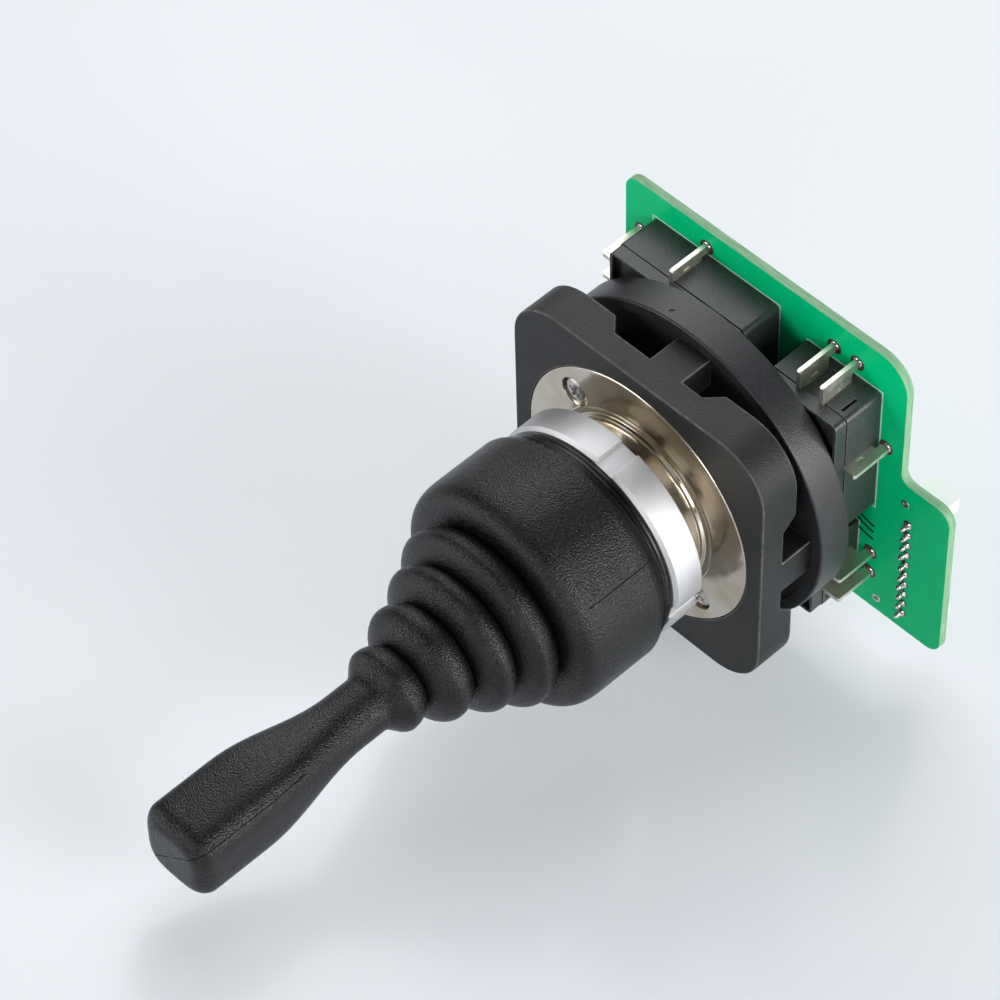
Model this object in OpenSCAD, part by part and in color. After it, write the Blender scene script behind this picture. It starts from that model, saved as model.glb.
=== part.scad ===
// Four-way industrial joystick: a lever on a cardan ring works four snap switches
// that lie in a ring between a moulded disc and a circuit board.
// Origin: centre of the panel seat. +Z runs along the lever towards its grip.

/* [Block] */
// Side of the square block
block_side = 55; // [54:0.5:58]
// Corner radius of the block
block_corner_r = 9.5; // [7:0.5:11]
// Thickness of the block's top plate
plate_t = 4.9; // [4.2:0.1:5.4]
// Depth of the skirt at the block's corners
skirt_depth = 7.6; // [6.8:0.1:9]
// Wall of the block's skirt
skirt_t = 4; // [3:0.25:5]
// Width of each notch along its ceiling
notch_w = 19; // [17:0.5:20]
// How far each end of a notch leans outwards
notch_lean = 2.5; // [1:0.25:3]
// Width of the foot in each notch
foot_w = 7; // [6:0.25:8]
// Depth of that foot, inwards from the side face
foot_depth = 6; // [4:0.5:7]
// Sideways offset of the foot
foot_offset = 1.6; // [1:0.1:2.4]
// Height of the foot, from the plate to the disc's floor
foot_h = 6.6; // [6:0.1:7.2]

/* [Flange and ring nut] */
// Width of the block's face between flange and side
flange_margin = 3.3; // [2.5:0.1:4]
// Thickness of the flange
flange_t = 2.5; // [2:0.1:3]
// Outer radius of the threaded neck
neck_r = 15; // [14.6:0.1:15.4]
// Wall of the neck
neck_wall = 2.4; // [2:0.1:2.5]
// Height of the neck over the seat
neck_h = 9.8; // [9.4:0.1:10.2]
// How far the neck's foot stands out
neck_foot_w = 0.5; // [0.3:0.05:0.7]
// Height of that foot over the seat
neck_foot_h = 0.8; // [0.5:0.05:1.2]
// Wall of the spigot that centres the flange in the block
spigot_wall = 1.4; // [1.2:0.1:2]
// Length of that spigot
spigot_l = 4; // [2.5:0.25:4.5]
// Distance of the two flange screws from the flange's edge
screw_inset = 4.6; // [4:0.1:5]
// Radius of a flange screw's head
screw_head_r = 2.5; // [2.2:0.1:2.8]
// Height of that head
screw_head_h = 1.3; // [1:0.1:1.6]
// Clearance round that head in its counterbore
screw_head_gap = 0.25; // [0.1:0.05:0.4]
// How far the head lies under the seat
screw_sink = 0.1; // [0:0.05:0.3]
// Width and depth of a screw's cross recess
cross_w = 0.8; // [0.6:0.05:1]
// Radius of a flange screw's thread
screw_r = 1.5; // [1.25:0.05:1.6]
// Length of that thread
screw_l = 13; // [11:0.5:14]
// Gap for the panel, from seat to ring nut
panel_gap = 5.3; // [4.6:0.1:5.8]
// Wall of the ring nut round the boot's seat
ring_wall = 1.6; // [1.3:0.1:2]
// Height of the ring nut
ring_h = 5.95; // [5.5:0.05:6.5]
// Chamfer of the ring nut on its handle side
ring_chamfer = 0.6; // [0.3:0.05:0.8]
// Edge break of the ring nut on its panel side
ring_edge = 0.2; // [0.1:0.05:0.4]
// Width of each wrench recess
recess_w = 3.5; // [3:0.1:4.5]
// Depth of each wrench recess
recess_depth = 0.9; // [0.5:0.05:1]
// Turn of the wrench recesses about the axis, in degrees
recess_turn = -101.5; // [-120:0.5:-60]

/* [Boot] */
// Radius of the boot's seat inside the ring nut
boot_seat_r = 18.3; // [18:0.05:18.5]
// Thickness of the clamped lip
boot_lip_t = 1.4; // [1.2:0.1:1.6]
// How far the skirt stands out past that seat
boot_bulge = 2.7; // [2.2:0.1:3.2]
// Height of the skirt from the ring nut to the first groove
boot_h = 21.95; // [20:0.05:23]
// Height of the skirt's rounded shoulder
shoulder_h = 9; // [7:0.25:10]
// Height of the smooth bands over the ring nut
band_h = 1; // [0.8:0.05:1.3]
// Gap between the ring nut and the first band
band_gap = 0.1; // [0.05:0.05:0.3]
// Depth of the groove between the bands
band_groove = 0.3; // [0.1:0.05:0.5]
// Wall of the skirt
boot_wall = 1.8; // [1.4:0.1:2.2]
// Wall of the folds
fold_wall = 1.2; // [1:0.05:1.3]
// Radius of the first and largest fold's crest
first_crest_r = 16.4; // [15.8:0.1:17]
// Radius of the last and smallest fold's crest
last_crest_r = 7.5; // [7.3:0.1:8]
// Number of folds
folds = 4; // [3:1:5]
// Rise from the first groove to the first crest
first_crest_rise = 3.6; // [3:0.1:4]
// Distance from the first crest to the next
fold_pitch = 5.6; // [5.4:0.1:5.8]
// Ratio of growth of that distance from fold to fold
fold_growth_ratio = 1.18; // [1.15:0.01:1.2]
// Depth of a groove under the smaller of its two crests
groove_depth = 1.6; // [1.2:0.1:1.7]
// How far the retaining collar's flange stays inside the boot's seat
retainer_inset = 1.9; // [1.6:0.1:3]
// Gap between that flange and the boot
retainer_gap = 0.4; // [0.2:0.1:0.6]
// Thickness of that flange
retainer_t = 1.1; // [0.8:0.1:1.4]
// Wall of the retaining collar's sleeve
retainer_wall = 0.8; // [0.6:0.05:0.8]
// Length of that sleeve under the boot's lip
retainer_sleeve_l = 3; // [2:0.25:4]

/* [Grip] */
// Radius of the grip's neck
grip_neck_r = 4.9; // [4.6:0.1:5.4]
// Half width of the grip's square end
grip_half_w = 7.1; // [6.6:0.1:8]
// Length of the straight neck
grip_neck_l = 4.3; // [3:0.1:6]
// Length over which the grip widens
grip_flare_l = 20; // [17:0.5:23]
// Length of the full-width end
grip_head_l = 15.8; // [13:0.2:20]
// Rounding of the grip's end
grip_edge_r = 3; // [2:0.25:3.5]
// Exponent of the square end's outline, 2 being a circle
square_exponent = 3.4; // [2.6:0.1:4]
// Gap between the folds and the grip
grip_gap = 0.1; // [0.05:0.05:0.2]

/* [Lever and gimbal] */
// Height of the pivot over the disc's underside
pivot_rise = 1.95; // [1.8:0.05:2.1]
// Radius of the lever's shaft
shaft_r = 4; // [3.6:0.05:4]
// Radius of the shaft inside the grip
tang_r = 3; // [2.5:0.1:3.2]
// How far under the grip the shaft steps down
tang_drop = 3.7; // [3:0.1:4.5]
// Depth to which the shaft enters the grip, from its end
grip_solid_l = 8; // [5:0.5:12]
// Outer radius of the gimbal ring
gimbal_r = 9.3; // [9.1:0.05:9.35]
// Inner radius of the gimbal ring
gimbal_bore_r = 6.6; // [6.2:0.1:6.9]
// Height of the gimbal ring
gimbal_h = 4; // [3.6:0.1:4.2]
// Radius of the gimbal's pins
pin_r = 1.25; // [1:0.05:1.3]
// Reach of the outer pins from the axis
outer_pin_reach = 13; // [12:0.25:14]
// Running clearance of a pin, on the radius
pin_clearance = 0.03; // [0.01:0.01:0.08]
// Gap at a pin's end
pin_end_gap = 0.2; // [0.1:0.05:0.4]
// How far the cross pin's ends stay inside the gimbal ring
cross_pin_inset = 0.5; // [0.3:0.05:0.8]
// Height of the actuator
actuator_h = 4.4; // [3.8:0.1:4.8]
// Radius of the shaft's end inside the actuator
stub_r = 2.5; // [2.2:0.1:3]
// Head radius of the actuator's screw
hub_screw_head_r = 2.8; // [2.6:0.1:3]
// Head height of that screw
hub_screw_head_h = 1.6; // [1.2:0.1:1.8]
// Thread radius of that screw
hub_screw_r = 1.5; // [1.2:0.05:1.6]
// Thread length of that screw
hub_screw_l = 6; // [5:0.5:9]
// Free depth under that screw's end
hub_screw_gap = 0.3; // [0.1:0.1:0.6]

/* [Return spring] */
// Wire radius
wire_r = 0.6; // [0.5:0.05:0.7]
// Mean radius of the coil
coil_r = 6.2; // [6:0.05:6.4]
// Number of turns
coil_turns = 5; // [4:1:6]
// Thickness of the washer that the spring stands on
seat_t = 1; // [0.8:0.1:1.2]
// Outer radius of that washer
seat_r = 12.4; // [11.5:0.1:13]
// Bore radius of that washer
seat_bore_r = 5.7; // [5.55:0.05:5.8]
// Height of the collar's underside over the panel seat
collar_z = 2; // [1.5:0.1:2.4]
// Thickness of the collar
collar_t = 1.6; // [1.2:0.1:1.8]
// Radius of the collar
collar_r = 7.3; // [7:0.05:7.4]
// Height of the collar's centring spigot
collar_spigot_h = 1; // [0.6:0.1:1.4]
// Thickness of the retaining clip
clip_t = 0.8; // [0.6:0.05:1]
// Outer radius of the retaining clip
clip_r = 5.6; // [5.2:0.1:6]
// Depth of the clip's groove in the shaft
clip_groove = 0.6; // [0.4:0.05:0.8]
// Gap between the collar's spigot and the coil
coil_gap = 0.1; // [0.05:0.05:0.2]

/* [Base disc] */
// How far the disc stands out past the block's side
disc_overhang = 2.9; // [2.8:0.05:3.4]
// Thickness of the disc under its floor
disc_t = 5.95; // [5.7:0.05:6.3]
// Height of the rim over the disc's floor
disc_rim_h = 0.54; // [0.4:0.02:0.7]
// Width of the rim
disc_rim_w = 2.2; // [1.8:0.1:2.3]
// Gap between the gimbal ring and its well
well_gap = 0.7; // [0.65:0.05:1]
// Radius of the two screw bosses
boss_r = 3.4; // [3:0.1:3.8]
// Thickness left under a screw's hole in its boss
boss_floor_t = 1; // [0.8:0.1:1.5]
// Length of the pegs that hold the switches
peg_l = 4; // [3:0.25:6]

/* [Switches] */
// Length of a switch
switch_l = 27.8; // [27:0.1:28.5]
// Height of a switch, across its terminal side
switch_w = 15.9; // [15.5:0.1:16.2]
// Thickness of a switch
switch_t = 10.3; // [10:0.05:10.6]
// How far a switch's outer side lies inside the block's side
switch_inset = 1.04; // [0.9:0.02:1.2]
// How far a switch's terminal end lies inside the block's side
switch_end_inset = 4.1; // [3.7:0.1:4.4]
// Radius of a switch's outer corners
switch_corner_r = 1.2; // [0.8:0.1:1.6]
// Thickness of a switch's cover
cover_t = 2.5; // [2.2:0.05:2.8]
// How far the cover's edge stands back from the case
cover_step = 0.15; // [0.1:0.05:0.3]
// Rim round the pocket in the cover's corner
pocket_rim = 0.7; // [0.5:0.05:1]
// Width of that pocket
pocket_w = 7; // [5:0.5:8]
// Length of that pocket
pocket_l = 9; // [6:0.5:10]
// Depth of that pocket
pocket_depth = 1.2; // [0.8:0.1:1.5]
// Distance of the slot in a switch's end from its outer side
end_slot_inset = 2.3; // [2:0.1:2.6]
// Width of that slot
end_slot_w = 0.6; // [0.4:0.05:0.8]
// Length of that slot, starting under the case's middle
end_slot_l = 3.4; // [3:0.1:3.8]
// Depth of that slot
end_slot_depth = 1; // [0.6:0.1:1.2]
// Depth of the recess between the end blades
end_recess_depth = 0.8; // [0.5:0.1:1.2]
// Height of that recess
end_recess_h = 6; // [5:0.25:6.3]
// Distance of that recess from the board
end_recess_rise = 1.8; // [1.4:0.1:2]
// Radius of a switch's mounting holes
switch_hole_r = 1.55; // [1.55:0.01:1.65]
// Distance of a mounting hole from the nearer end
switch_hole_inset = 2.8; // [2.6:0.05:3]
// Distance between the two mounting holes across the switch
switch_hole_across = 10.3; // [10:0.05:10.6]
// Radius of the plunger
plunger_r = 1.5; // [1.2:0.05:1.6]
// Running clearance of the plunger, on the radius
plunger_clearance = 0.05; // [0.02:0.01:0.08]
// How far the plunger stands out in its middle position
plunger_out = 2.51; // [2.4:0.01:2.6]
// How far it reaches into the switch
plunger_root = 2.89; // [2.6:0.01:3.2]
// Height of its domed tip
plunger_dome = 0.6; // [0.4:0.05:0.8]
// Free depth behind it at the end of its travel
plunger_end_gap = 0.3; // [0.1:0.05:0.5]
// Gap between plunger and actuator
plunger_gap = 0.05; // [0.03:0.01:0.1]
// Travel of the plunger from the middle position
plunger_travel = 1.3; // [1.25:0.05:1.6]

/* [Terminals] */
// Thickness of a terminal blade
blade_t = 0.8; // [0.6:0.05:0.9]
// Distance from the outer side to the first end blade
blade_inset = 4.96; // [4.6:0.02:5.2]
// Distance between the two end blades
blade_pitch = 4.9; // [4.6:0.05:5.2]
// How far an end blade stands out
blade_out = 3.7; // [3.4:0.05:3.9]
// Distance from the terminal end to the side blade
side_blade_inset = 11.4; // [11:0.1:12.5]
// How far the side blade stands out
side_blade_out = 2.4; // [2.3:0.05:2.6]
// Drop from the disc's underside to a blade's top
blade_top_drop = 2.05; // [1.8:0.05:2.4]
// Width of a blade's solder pin
pin_w = 1.7; // [1.5:0.05:1.8]
// How deep a blade sits in its switch
blade_root = 2; // [1.5:0.1:3]
// How far the wide part ends above the board
blade_stand_off = 1.6; // [1.2:0.1:2]
// Distance of the small hole in a blade from the switch
blade_slot_x = 0.3; // [0.2:0.05:0.5]
// Width of that hole
blade_slot_w = 0.6; // [0.4:0.05:0.8]
// Height of that hole
blade_slot_h = 1.4; // [1:0.1:1.8]
// Drop from the blade's top to that hole's foot
blade_slot_drop = 4; // [3.5:0.1:4.5]
// How far the pins stick out under the board
pin_stick_out = 1.2; // [0.8:0.1:1.6]

/* [Circuit board] */
// Thickness of the board
board_t = 1.6; // [1.4:0.1:1.8]
// Board's margin past the pins, away from the connector
margin_far = 0.94; // [0.9:0.02:2]
// Board's margin past the pins on the connector's side
margin_near = 2.74; // [2.3:0.02:3.3]
// Board's margin past the pins on the side of the large corner
margin_low = 3.04; // [2.5:0.02:4]
// Board's margin past the pins on the opposite side
margin_high = 0.74; // [0.72:0.02:2]
// Length of the tongue that carries the connector
tongue_l = 10.5; // [9:0.1:12]
// Where the tongue starts, from the middle
tongue_y = 6; // [4:0.25:8]
// Radius of the large corner
board_big_r = 6; // [4:0.25:8]
// Radius of the other corners
board_r = 3; // [2:0.25:4]
// Radius of the fillet beside the tongue
board_fillet_r = 2; // [1:0.25:3]
// Radius of a hole for a blade's pin
blade_hole_r = 1.05; // [1.02:0.01:1.1]
// Radius of a hole for a connector's pin
post_hole_r = 0.5; // [0.5:0.01:0.6]
// Radius of the solder round a blade's pin
solder_r = 1.45; // [1.35:0.05:1.55]
// Height of that solder
solder_h = 0.8; // [0.5:0.05:1]

/* [Connector] */
// Number of pins
posts = 10; // [8:1:10]
// Distance from pin to pin
post_pitch = 2.5; // [2.4:0.01:2.54]
// Distance from the row of pins to the tongue's end
post_edge = 8.4; // [8.2:0.1:8.8]
// Distance from the last pin to the board's side
row_margin = 4.07; // [3.8:0.01:4.3]
// Side of a square pin
post_w = 0.64; // [0.5:0.02:0.66]
// How far the connector reaches past its end pins, with its ears
header_end = 3.8; // [3.7:0.05:3.9]
// Depth of the connector at its ears
header_d = 6.5; // [6.4:0.1:7]
// Height of the ears
header_h = 6.4; // [6:0.1:7.8]
// Width of each ear
header_ear_w = 2.8; // [2.4:0.1:3]
// Height of the connector between its ears
header_body_h = 4; // [3.8:0.1:5]
// How far that part stands back from the ears' faces
header_step = 0.5; // [0.3:0.1:0.6]
// Distance from the row of pins to the connector's back
header_back = 2.45; // [2.35:0.05:2.8]
// Wall of the connector
header_wall = 1.1; // [0.9:0.05:1.15]
// Depth of the connector's socket
socket_d = 3; // [2.6:0.1:3.2]
// Width of each keying slot in the socket's wall
key_w = 1.8; // [1.4:0.1:2.2]
// Distance of each keying slot from the connector's middle
key_offset = 6; // [5:0.5:8]
// Distance of the socket from each ear
socket_end_gap = 0.1; // [0.05:0.05:0.2]
// Gap between the socket's mouth and the pins' tips
post_tip_gap = 0.5; // [0.3:0.1:0.8]
// How far a pin sticks out over the board
post_stick_out = 1; // [0.8:0.1:1.4]
// Radius of the solder round a connector's pin
post_solder_r = 0.95; // [0.8:0.05:1.1]
// Radius of that solder's tip
post_solder_tip_r = 0.4; // [0.35:0.05:0.6]
// Height of that solder
post_solder_h = 1.7; // [1.3:0.1:2]

/* [Hidden] */

$fn = 96;
// Depth by which a cut runs past the face that it opens
past = 1;
// Overlap of outlines that are cut from or added to each other
lap = 0.1;
// Sliding clearance between parts that are pushed into each other
fit = 0.05;

// Turn of each switch about the axis, in order
switch_turns = [-90, 180, 90, 0];

neck_bore_r = neck_r - neck_wall;
spigot_r = neck_bore_r + spigot_wall;
flange_r = block_side / 2 - flange_margin;
screw_ring_r = flange_r - screw_inset;
ring_r = boot_seat_r + ring_wall;
ring_top_z = panel_gap + ring_h;
boot_r = boot_seat_r + boot_bulge;
boot_top_z = ring_top_z + boot_h;
boot_split_z = boot_top_z - shoulder_h;
boot_lip_z = neck_h + boot_lip_t;
retainer_r = boot_seat_r - retainer_inset;
disc_r = block_side / 2 + disc_overhang;
disc_floor_z = -plate_t - foot_h;
disc_bottom_z = disc_floor_z - disc_t;
pivot_z = disc_bottom_z + pivot_rise;
well_r = gimbal_r + well_gap;
peg_r = switch_hole_r - fit;
board_top_z = disc_bottom_z - switch_t;
board_bottom_z = board_top_z - board_t;
switch_out = block_side / 2 - switch_inset;
switch_end = block_side / 2 - switch_end_inset;
switch_in = switch_out - switch_w;
plunger_z = disc_bottom_z - switch_t / 2;
plunger_tip_x = switch_in - plunger_out;
actuator_r = plunger_tip_x - plunger_gap;
cover_split_z = disc_bottom_z - cover_t;
blade_top_z = disc_bottom_z - blade_top_drop;
pins_reach = max(switch_out + side_blade_out, switch_end + blade_out);
board_x_far = pins_reach + margin_far;
board_x_near = pins_reach + margin_near;
board_y_low = pins_reach + margin_low;
board_y_high = pins_reach + margin_high;
tongue_x = board_x_near + tongue_l;
post_x = tongue_x - post_edge;
row_l = (posts - 1) * post_pitch;
post_y = board_y_high - row_margin - row_l;
seat_top_z = disc_floor_z + seat_t;
clip_z = collar_z + collar_t;
black = [0.09, 0.09, 0.1];
nickel = [0.78, 0.76, 0.72];
tin = [0.8, 0.8, 0.78];

// Crests and grooves of the folds
function crest_r(i) = first_crest_r + (last_crest_r - first_crest_r) * i / (folds - 1);
function crest_z(i) = i == 0 ? boot_top_z + first_crest_rise
  : crest_z(i - 1) + fold_pitch * pow(fold_growth_ratio, i - 1);
function groove_r(i) = i == folds ? grip_neck_r : crest_r(i) - groove_depth;
function groove_z(i) = i == 0 ? boot_top_z : i == folds ? bellows_top_z : (crest_z(i - 1) + crest_z(i)) / 2;
bellows_top_z = crest_z(folds - 1) + fold_pitch / 2;
// Outline of the folds: round crests over narrow grooves
fold_steps = 8;
fold_roundness = 0.62;
function rise(t) = pow(sin(90 * t), fold_roundness);
function flank_up(i) = [for (k = [0:fold_steps - 1]) let (t = k / fold_steps)
  [groove_r(i) + (crest_r(i) - groove_r(i)) * rise(t), groove_z(i) + (crest_z(i) - groove_z(i)) * t]];
function flank_down(i) = [for (k = [0:fold_steps - 1]) let (t = k / fold_steps)
  [groove_r(i + 1) + (crest_r(i) - groove_r(i + 1)) * rise(1 - t),
    crest_z(i) + (groove_z(i + 1) - crest_z(i)) * t]];
fold_line = concat(
  [for (i = [0:folds - 1], p = concat(flank_up(i), flank_down(i))) p],
  [[groove_r(folds), bellows_top_z]]);

// Grip's sections: height, half width and outline exponent
grip_z0 = bellows_top_z + grip_gap;
grip_neck_z = grip_z0 + grip_neck_l;
grip_full_z = grip_neck_z + grip_flare_l;
grip_top_z = grip_full_z + grip_head_l;
tang_z = grip_z0 - tang_drop;
tang_top_z = grip_top_z - grip_solid_l;
circle_exponent = 2;
grip_sides = 32;
grip_steps = 7;
end_steps = 4;
last_end_angle = 80;
function ease(t) = (1 - cos(180 * t)) / 2;
function grip_body(t) = [
  grip_neck_z + grip_flare_l * t,
  grip_neck_r + (grip_half_w - grip_neck_r) * ease(t),
  circle_exponent + (square_exponent - circle_exponent) * ease(t)];
grip_sections = concat(
  [[grip_z0, grip_neck_r, circle_exponent]],
  [for (k = [0:grip_steps]) grip_body(k / grip_steps)],
  [for (k = [0:end_steps]) let (a = last_end_angle * k / end_steps) [
    grip_top_z - grip_edge_r * (1 - sin(a)), grip_half_w - grip_edge_r * (1 - cos(a)), square_exponent]],
  [[grip_top_z, grip_half_w - grip_edge_r, square_exponent]]);
function super_r(a, n) = 1 / pow(pow(abs(cos(a)), n) + pow(abs(sin(a)), n), 1 / n);
function section_ring(s) = [for (k = [0:grip_sides - 1])
  let (a = 360 * k / grip_sides, r = s[1] * super_r(a, s[2])) [r * cos(a), r * sin(a), s[0]]];

module ring(r, bore, z0, z1) {
  rotate_extrude() translate([bore, z0]) square([r - bore, z1 - z0]);
}

module rounded_square(side, r) {
  square([side - 2 * r, side], center = true);
  square([side, side - 2 * r], center = true);
  for (x = [-1, 1], y = [-1, 1]) translate([x, y] * (side / 2 - r)) circle(r);
}

// Skin of rings that all have the same number of points, closed at both ends
module loft(rings) {
  n = len(rings[0]);
  m = len(rings);
  polyhedron(
    points = [for (q = rings, p = q) p],
    faces = concat(
      [[for (k = [0:n - 1]) k]],
      [for (j = [0:m - 2], k = [0:n - 1]) [j * n + k, (j + 1) * n + k, (j + 1) * n + (k + 1) % n]],
      [for (j = [0:m - 2], k = [0:n - 1]) [j * n + k, (j + 1) * n + (k + 1) % n, j * n + (k + 1) % n]],
      [[for (k = [n - 1:-1:0]) (m - 1) * n + k]]));
}

module at_flange_screws() {
  for (a = [-45, 135]) rotate(a) translate([screw_ring_r, 0, 0]) children();
}

module notch() {
  lean = notch_lean * (skirt_depth + past - plate_t) / (skirt_depth - plate_t);
  translate([block_side / 2 - skirt_t - past, 0, 0]) rotate([90, 0, 90])
    linear_extrude(skirt_t + 2 * past) polygon([
      [-notch_w / 2, -plate_t],
      [notch_w / 2, -plate_t],
      [notch_w / 2 + lean, -skirt_depth - past],
      [-notch_w / 2 - lean, -skirt_depth - past]]);
}

module mounting_block() {
  color(black) {
    difference() {
      translate([0, 0, -skirt_depth]) linear_extrude(skirt_depth) rounded_square(block_side, block_corner_r);
      translate([0, 0, -skirt_depth - past]) linear_extrude(skirt_depth + past - plate_t)
        rounded_square(block_side - 2 * skirt_t, block_corner_r - skirt_t);
      for (a = [0:90:270]) rotate(a) notch();
      translate([0, 0, -flange_t]) cylinder(r = flange_r + fit, h = flange_t + past);
      translate([0, 0, -plate_t - past]) cylinder(r = spigot_r + fit, h = plate_t);
      at_flange_screws() translate([0, 0, -plate_t - past]) cylinder(r = screw_r + fit, h = plate_t);
    }
    for (a = [0:90:270]) rotate(a)
      translate([block_side / 2 - foot_depth, -foot_offset - foot_w / 2, disc_floor_z])
        cube([foot_depth, foot_w, -plate_t - disc_floor_z]);
  }
}

module mounting_flange() {
  color(nickel) difference() {
    union() {
      ring(flange_r, neck_bore_r, -flange_t, 0);
      ring(neck_r + neck_foot_w, neck_bore_r, -flange_t, neck_foot_h);
      ring(neck_r, neck_bore_r, -flange_t, neck_h);
      ring(spigot_r, neck_bore_r, -flange_t - spigot_l, 0);
    }
    at_flange_screws() {
      translate([0, 0, -screw_head_h - screw_sink])
        cylinder(r = screw_head_r + screw_head_gap, h = screw_head_h + past);
      translate([0, 0, -flange_t - past]) cylinder(r = screw_r + fit, h = flange_t);
    }
  }
}

// Cross recess in the face of a screw's head that looks along +Z
module cross_recess(head_r) {
  for (a = [0, 90]) rotate(a) translate([-head_r * 0.7, -cross_w / 2, -cross_w])
    cube([head_r * 1.4, cross_w, cross_w + past]);
}

module flange_screws() {
  color(tin) at_flange_screws() translate([0, 0, -screw_head_h - screw_sink]) {
    difference() {
      cylinder(r = screw_head_r, h = screw_head_h);
      translate([0, 0, screw_head_h]) rotate(30) cross_recess(screw_head_r);
    }
    translate([0, 0, -screw_l]) cylinder(r = screw_r, h = screw_l);
  }
}

module ring_nut() {
  color([0.85, 0.86, 0.88]) difference() {
    rotate_extrude() polygon([
      [neck_r, panel_gap],
      [ring_r - ring_edge, panel_gap],
      [ring_r, panel_gap + ring_edge],
      [ring_r, ring_top_z - ring_chamfer],
      [ring_r - ring_chamfer, ring_top_z],
      [boot_seat_r + fit, ring_top_z],
      [boot_seat_r + fit, neck_h],
      [neck_r, neck_h]]);
    for (a = [0:90:270]) rotate(a + recess_turn)
      translate([ring_r - recess_depth, -recess_w / 2, panel_gap - past])
        cube([recess_depth + past, recess_w, ring_h + 2 * past]);
  }
}

// Shoulder of the boot, a quarter of an ellipse from the skirt to the first groove
shoulder_steps = 8;
function shoulder(r0, r1, h) = [for (k = [0:shoulder_steps]) let (a = 90 * k / shoulder_steps)
  [r1 + (r0 - r1) * cos(a), boot_split_z + h * sin(a)]];

module boot_skirt() {
  band_r = boot_seat_r + boot_bulge / 5;
  inner_r = boot_r - boot_wall;
  color(black) rotate_extrude() polygon([
    [neck_bore_r, neck_h],
    [boot_seat_r, neck_h],
    [boot_seat_r, ring_top_z],
    [band_r, ring_top_z + band_gap],
    [band_r, ring_top_z + band_gap + band_h],
    [band_r - band_groove, ring_top_z + 1.3 * band_h],
    [boot_seat_r + boot_bulge * 0.55, ring_top_z + 1.6 * band_h],
    [boot_seat_r + boot_bulge * 0.74, ring_top_z + 3.2 * band_h],
    [boot_r, ring_top_z + 4.4 * band_h],
    [boot_r, boot_split_z],
    [inner_r, boot_split_z],
    [inner_r, ring_top_z + 4.4 * band_h],
    [retainer_r + retainer_gap, boot_lip_z + retainer_t],
    [retainer_r + retainer_gap, boot_lip_z],
    [neck_bore_r, boot_lip_z]]);
}

module bellows() {
  n = len(fold_line);
  inner_line = [for (p = fold_line) [max(p[0] - fold_wall, shaft_at(p[1]) + fit), p[1]]];
  outside = concat(shoulder(boot_r, groove_r(0), shoulder_h), [for (k = [1:n - 1]) fold_line[k]]);
  inside = concat(shoulder(boot_r - boot_wall, groove_r(0) - fold_wall, shoulder_h - fold_wall), inner_line);
  m = len(inside);
  color(black) rotate_extrude() polygon(concat(outside, [for (k = [m - 1:-1:0]) inside[k]]));
}
function shaft_at(z) = z < tang_z + past ? shaft_r : tang_r;

module boot_retainer() {
  color(tin) rotate_extrude() polygon([
    [neck_bore_r - retainer_wall, boot_lip_z - boot_lip_t - retainer_sleeve_l],
    [neck_bore_r, boot_lip_z - boot_lip_t - retainer_sleeve_l],
    [neck_bore_r, boot_lip_z],
    [retainer_r, boot_lip_z],
    [retainer_r, boot_lip_z + retainer_t],
    [neck_bore_r - retainer_wall, boot_lip_z + retainer_t]]);
}

module at_switch_holes() {
  x_in = switch_out - switch_hole_inset - switch_hole_across;
  translate([x_in, switch_end - switch_hole_inset, 0]) children();
  translate([switch_out - switch_hole_inset, switch_end - switch_l + switch_hole_inset, 0]) children();
}

module switch_holes() {
  at_switch_holes() translate([0, 0, board_top_z - past])
    cylinder(r = switch_hole_r, h = switch_t + 2 * past);
}

module base_disc() {
  color([0.12, 0.12, 0.13]) {
    difference() {
      union() {
        translate([0, 0, disc_bottom_z]) cylinder(r = disc_r, h = disc_floor_z - disc_bottom_z);
        ring(disc_r, disc_r - disc_rim_w, disc_bottom_z, disc_floor_z + disc_rim_h);
        at_flange_screws() translate([0, 0, disc_bottom_z])
          cylinder(r = boss_r, h = -plate_t - disc_bottom_z);
      }
      translate([0, 0, disc_bottom_z - past]) cylinder(r = well_r, h = disc_t + 2 * past);
      for (a = [0, 180]) rotate(a) translate([well_r - past, 0, pivot_z]) rotate([0, 90, 0])
        cylinder(r = pin_r + pin_clearance, h = outer_pin_reach + pin_end_gap - well_r + past);
      at_flange_screws() translate([0, 0, disc_bottom_z + boss_floor_t])
        cylinder(r = screw_r + fit, h = -disc_bottom_z);
    }
    for (a = switch_turns) rotate(a) at_switch_holes()
      translate([0, 0, disc_bottom_z - peg_l]) cylinder(r = peg_r, h = peg_l + past);
  }
}

module spring_seat() {
  color(tin) ring(seat_r, seat_bore_r, disc_floor_z, seat_top_z);
}

coil_steps = 20;
wire_sides = 8;
module return_spring() {
  z0 = seat_top_z + wire_r;
  z1 = collar_z - wire_r;
  n = coil_turns * coil_steps;
  rings = [for (i = [0:n]) let (a = 360 * i / coil_steps) [for (k = [0:wire_sides - 1])
    let (b = 360 * k / wire_sides, r = coil_r + wire_r * cos(b))
      [r * cos(a), r * sin(a), z0 + (z1 - z0) * i / n + wire_r * sin(b)]]];
  color([0.6, 0.6, 0.62]) loft([for (i = [n:-1:0]) rings[i]]);
}

module gimbal_ring() {
  color(tin) difference() {
    translate([0, 0, pivot_z - gimbal_h / 2]) cylinder(r = gimbal_r, h = gimbal_h);
    translate([0, 0, pivot_z - gimbal_h]) cylinder(r = gimbal_bore_r, h = 2 * gimbal_h);
    translate([-gimbal_r - past, 0, pivot_z]) rotate([0, 90, 0])
      cylinder(r = pin_r, h = 2 * (gimbal_r + past));
    translate([0, gimbal_r + past, pivot_z]) rotate([90, 0, 0])
      cylinder(r = pin_r + pin_clearance, h = 2 * (gimbal_r + past));
  }
}

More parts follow.
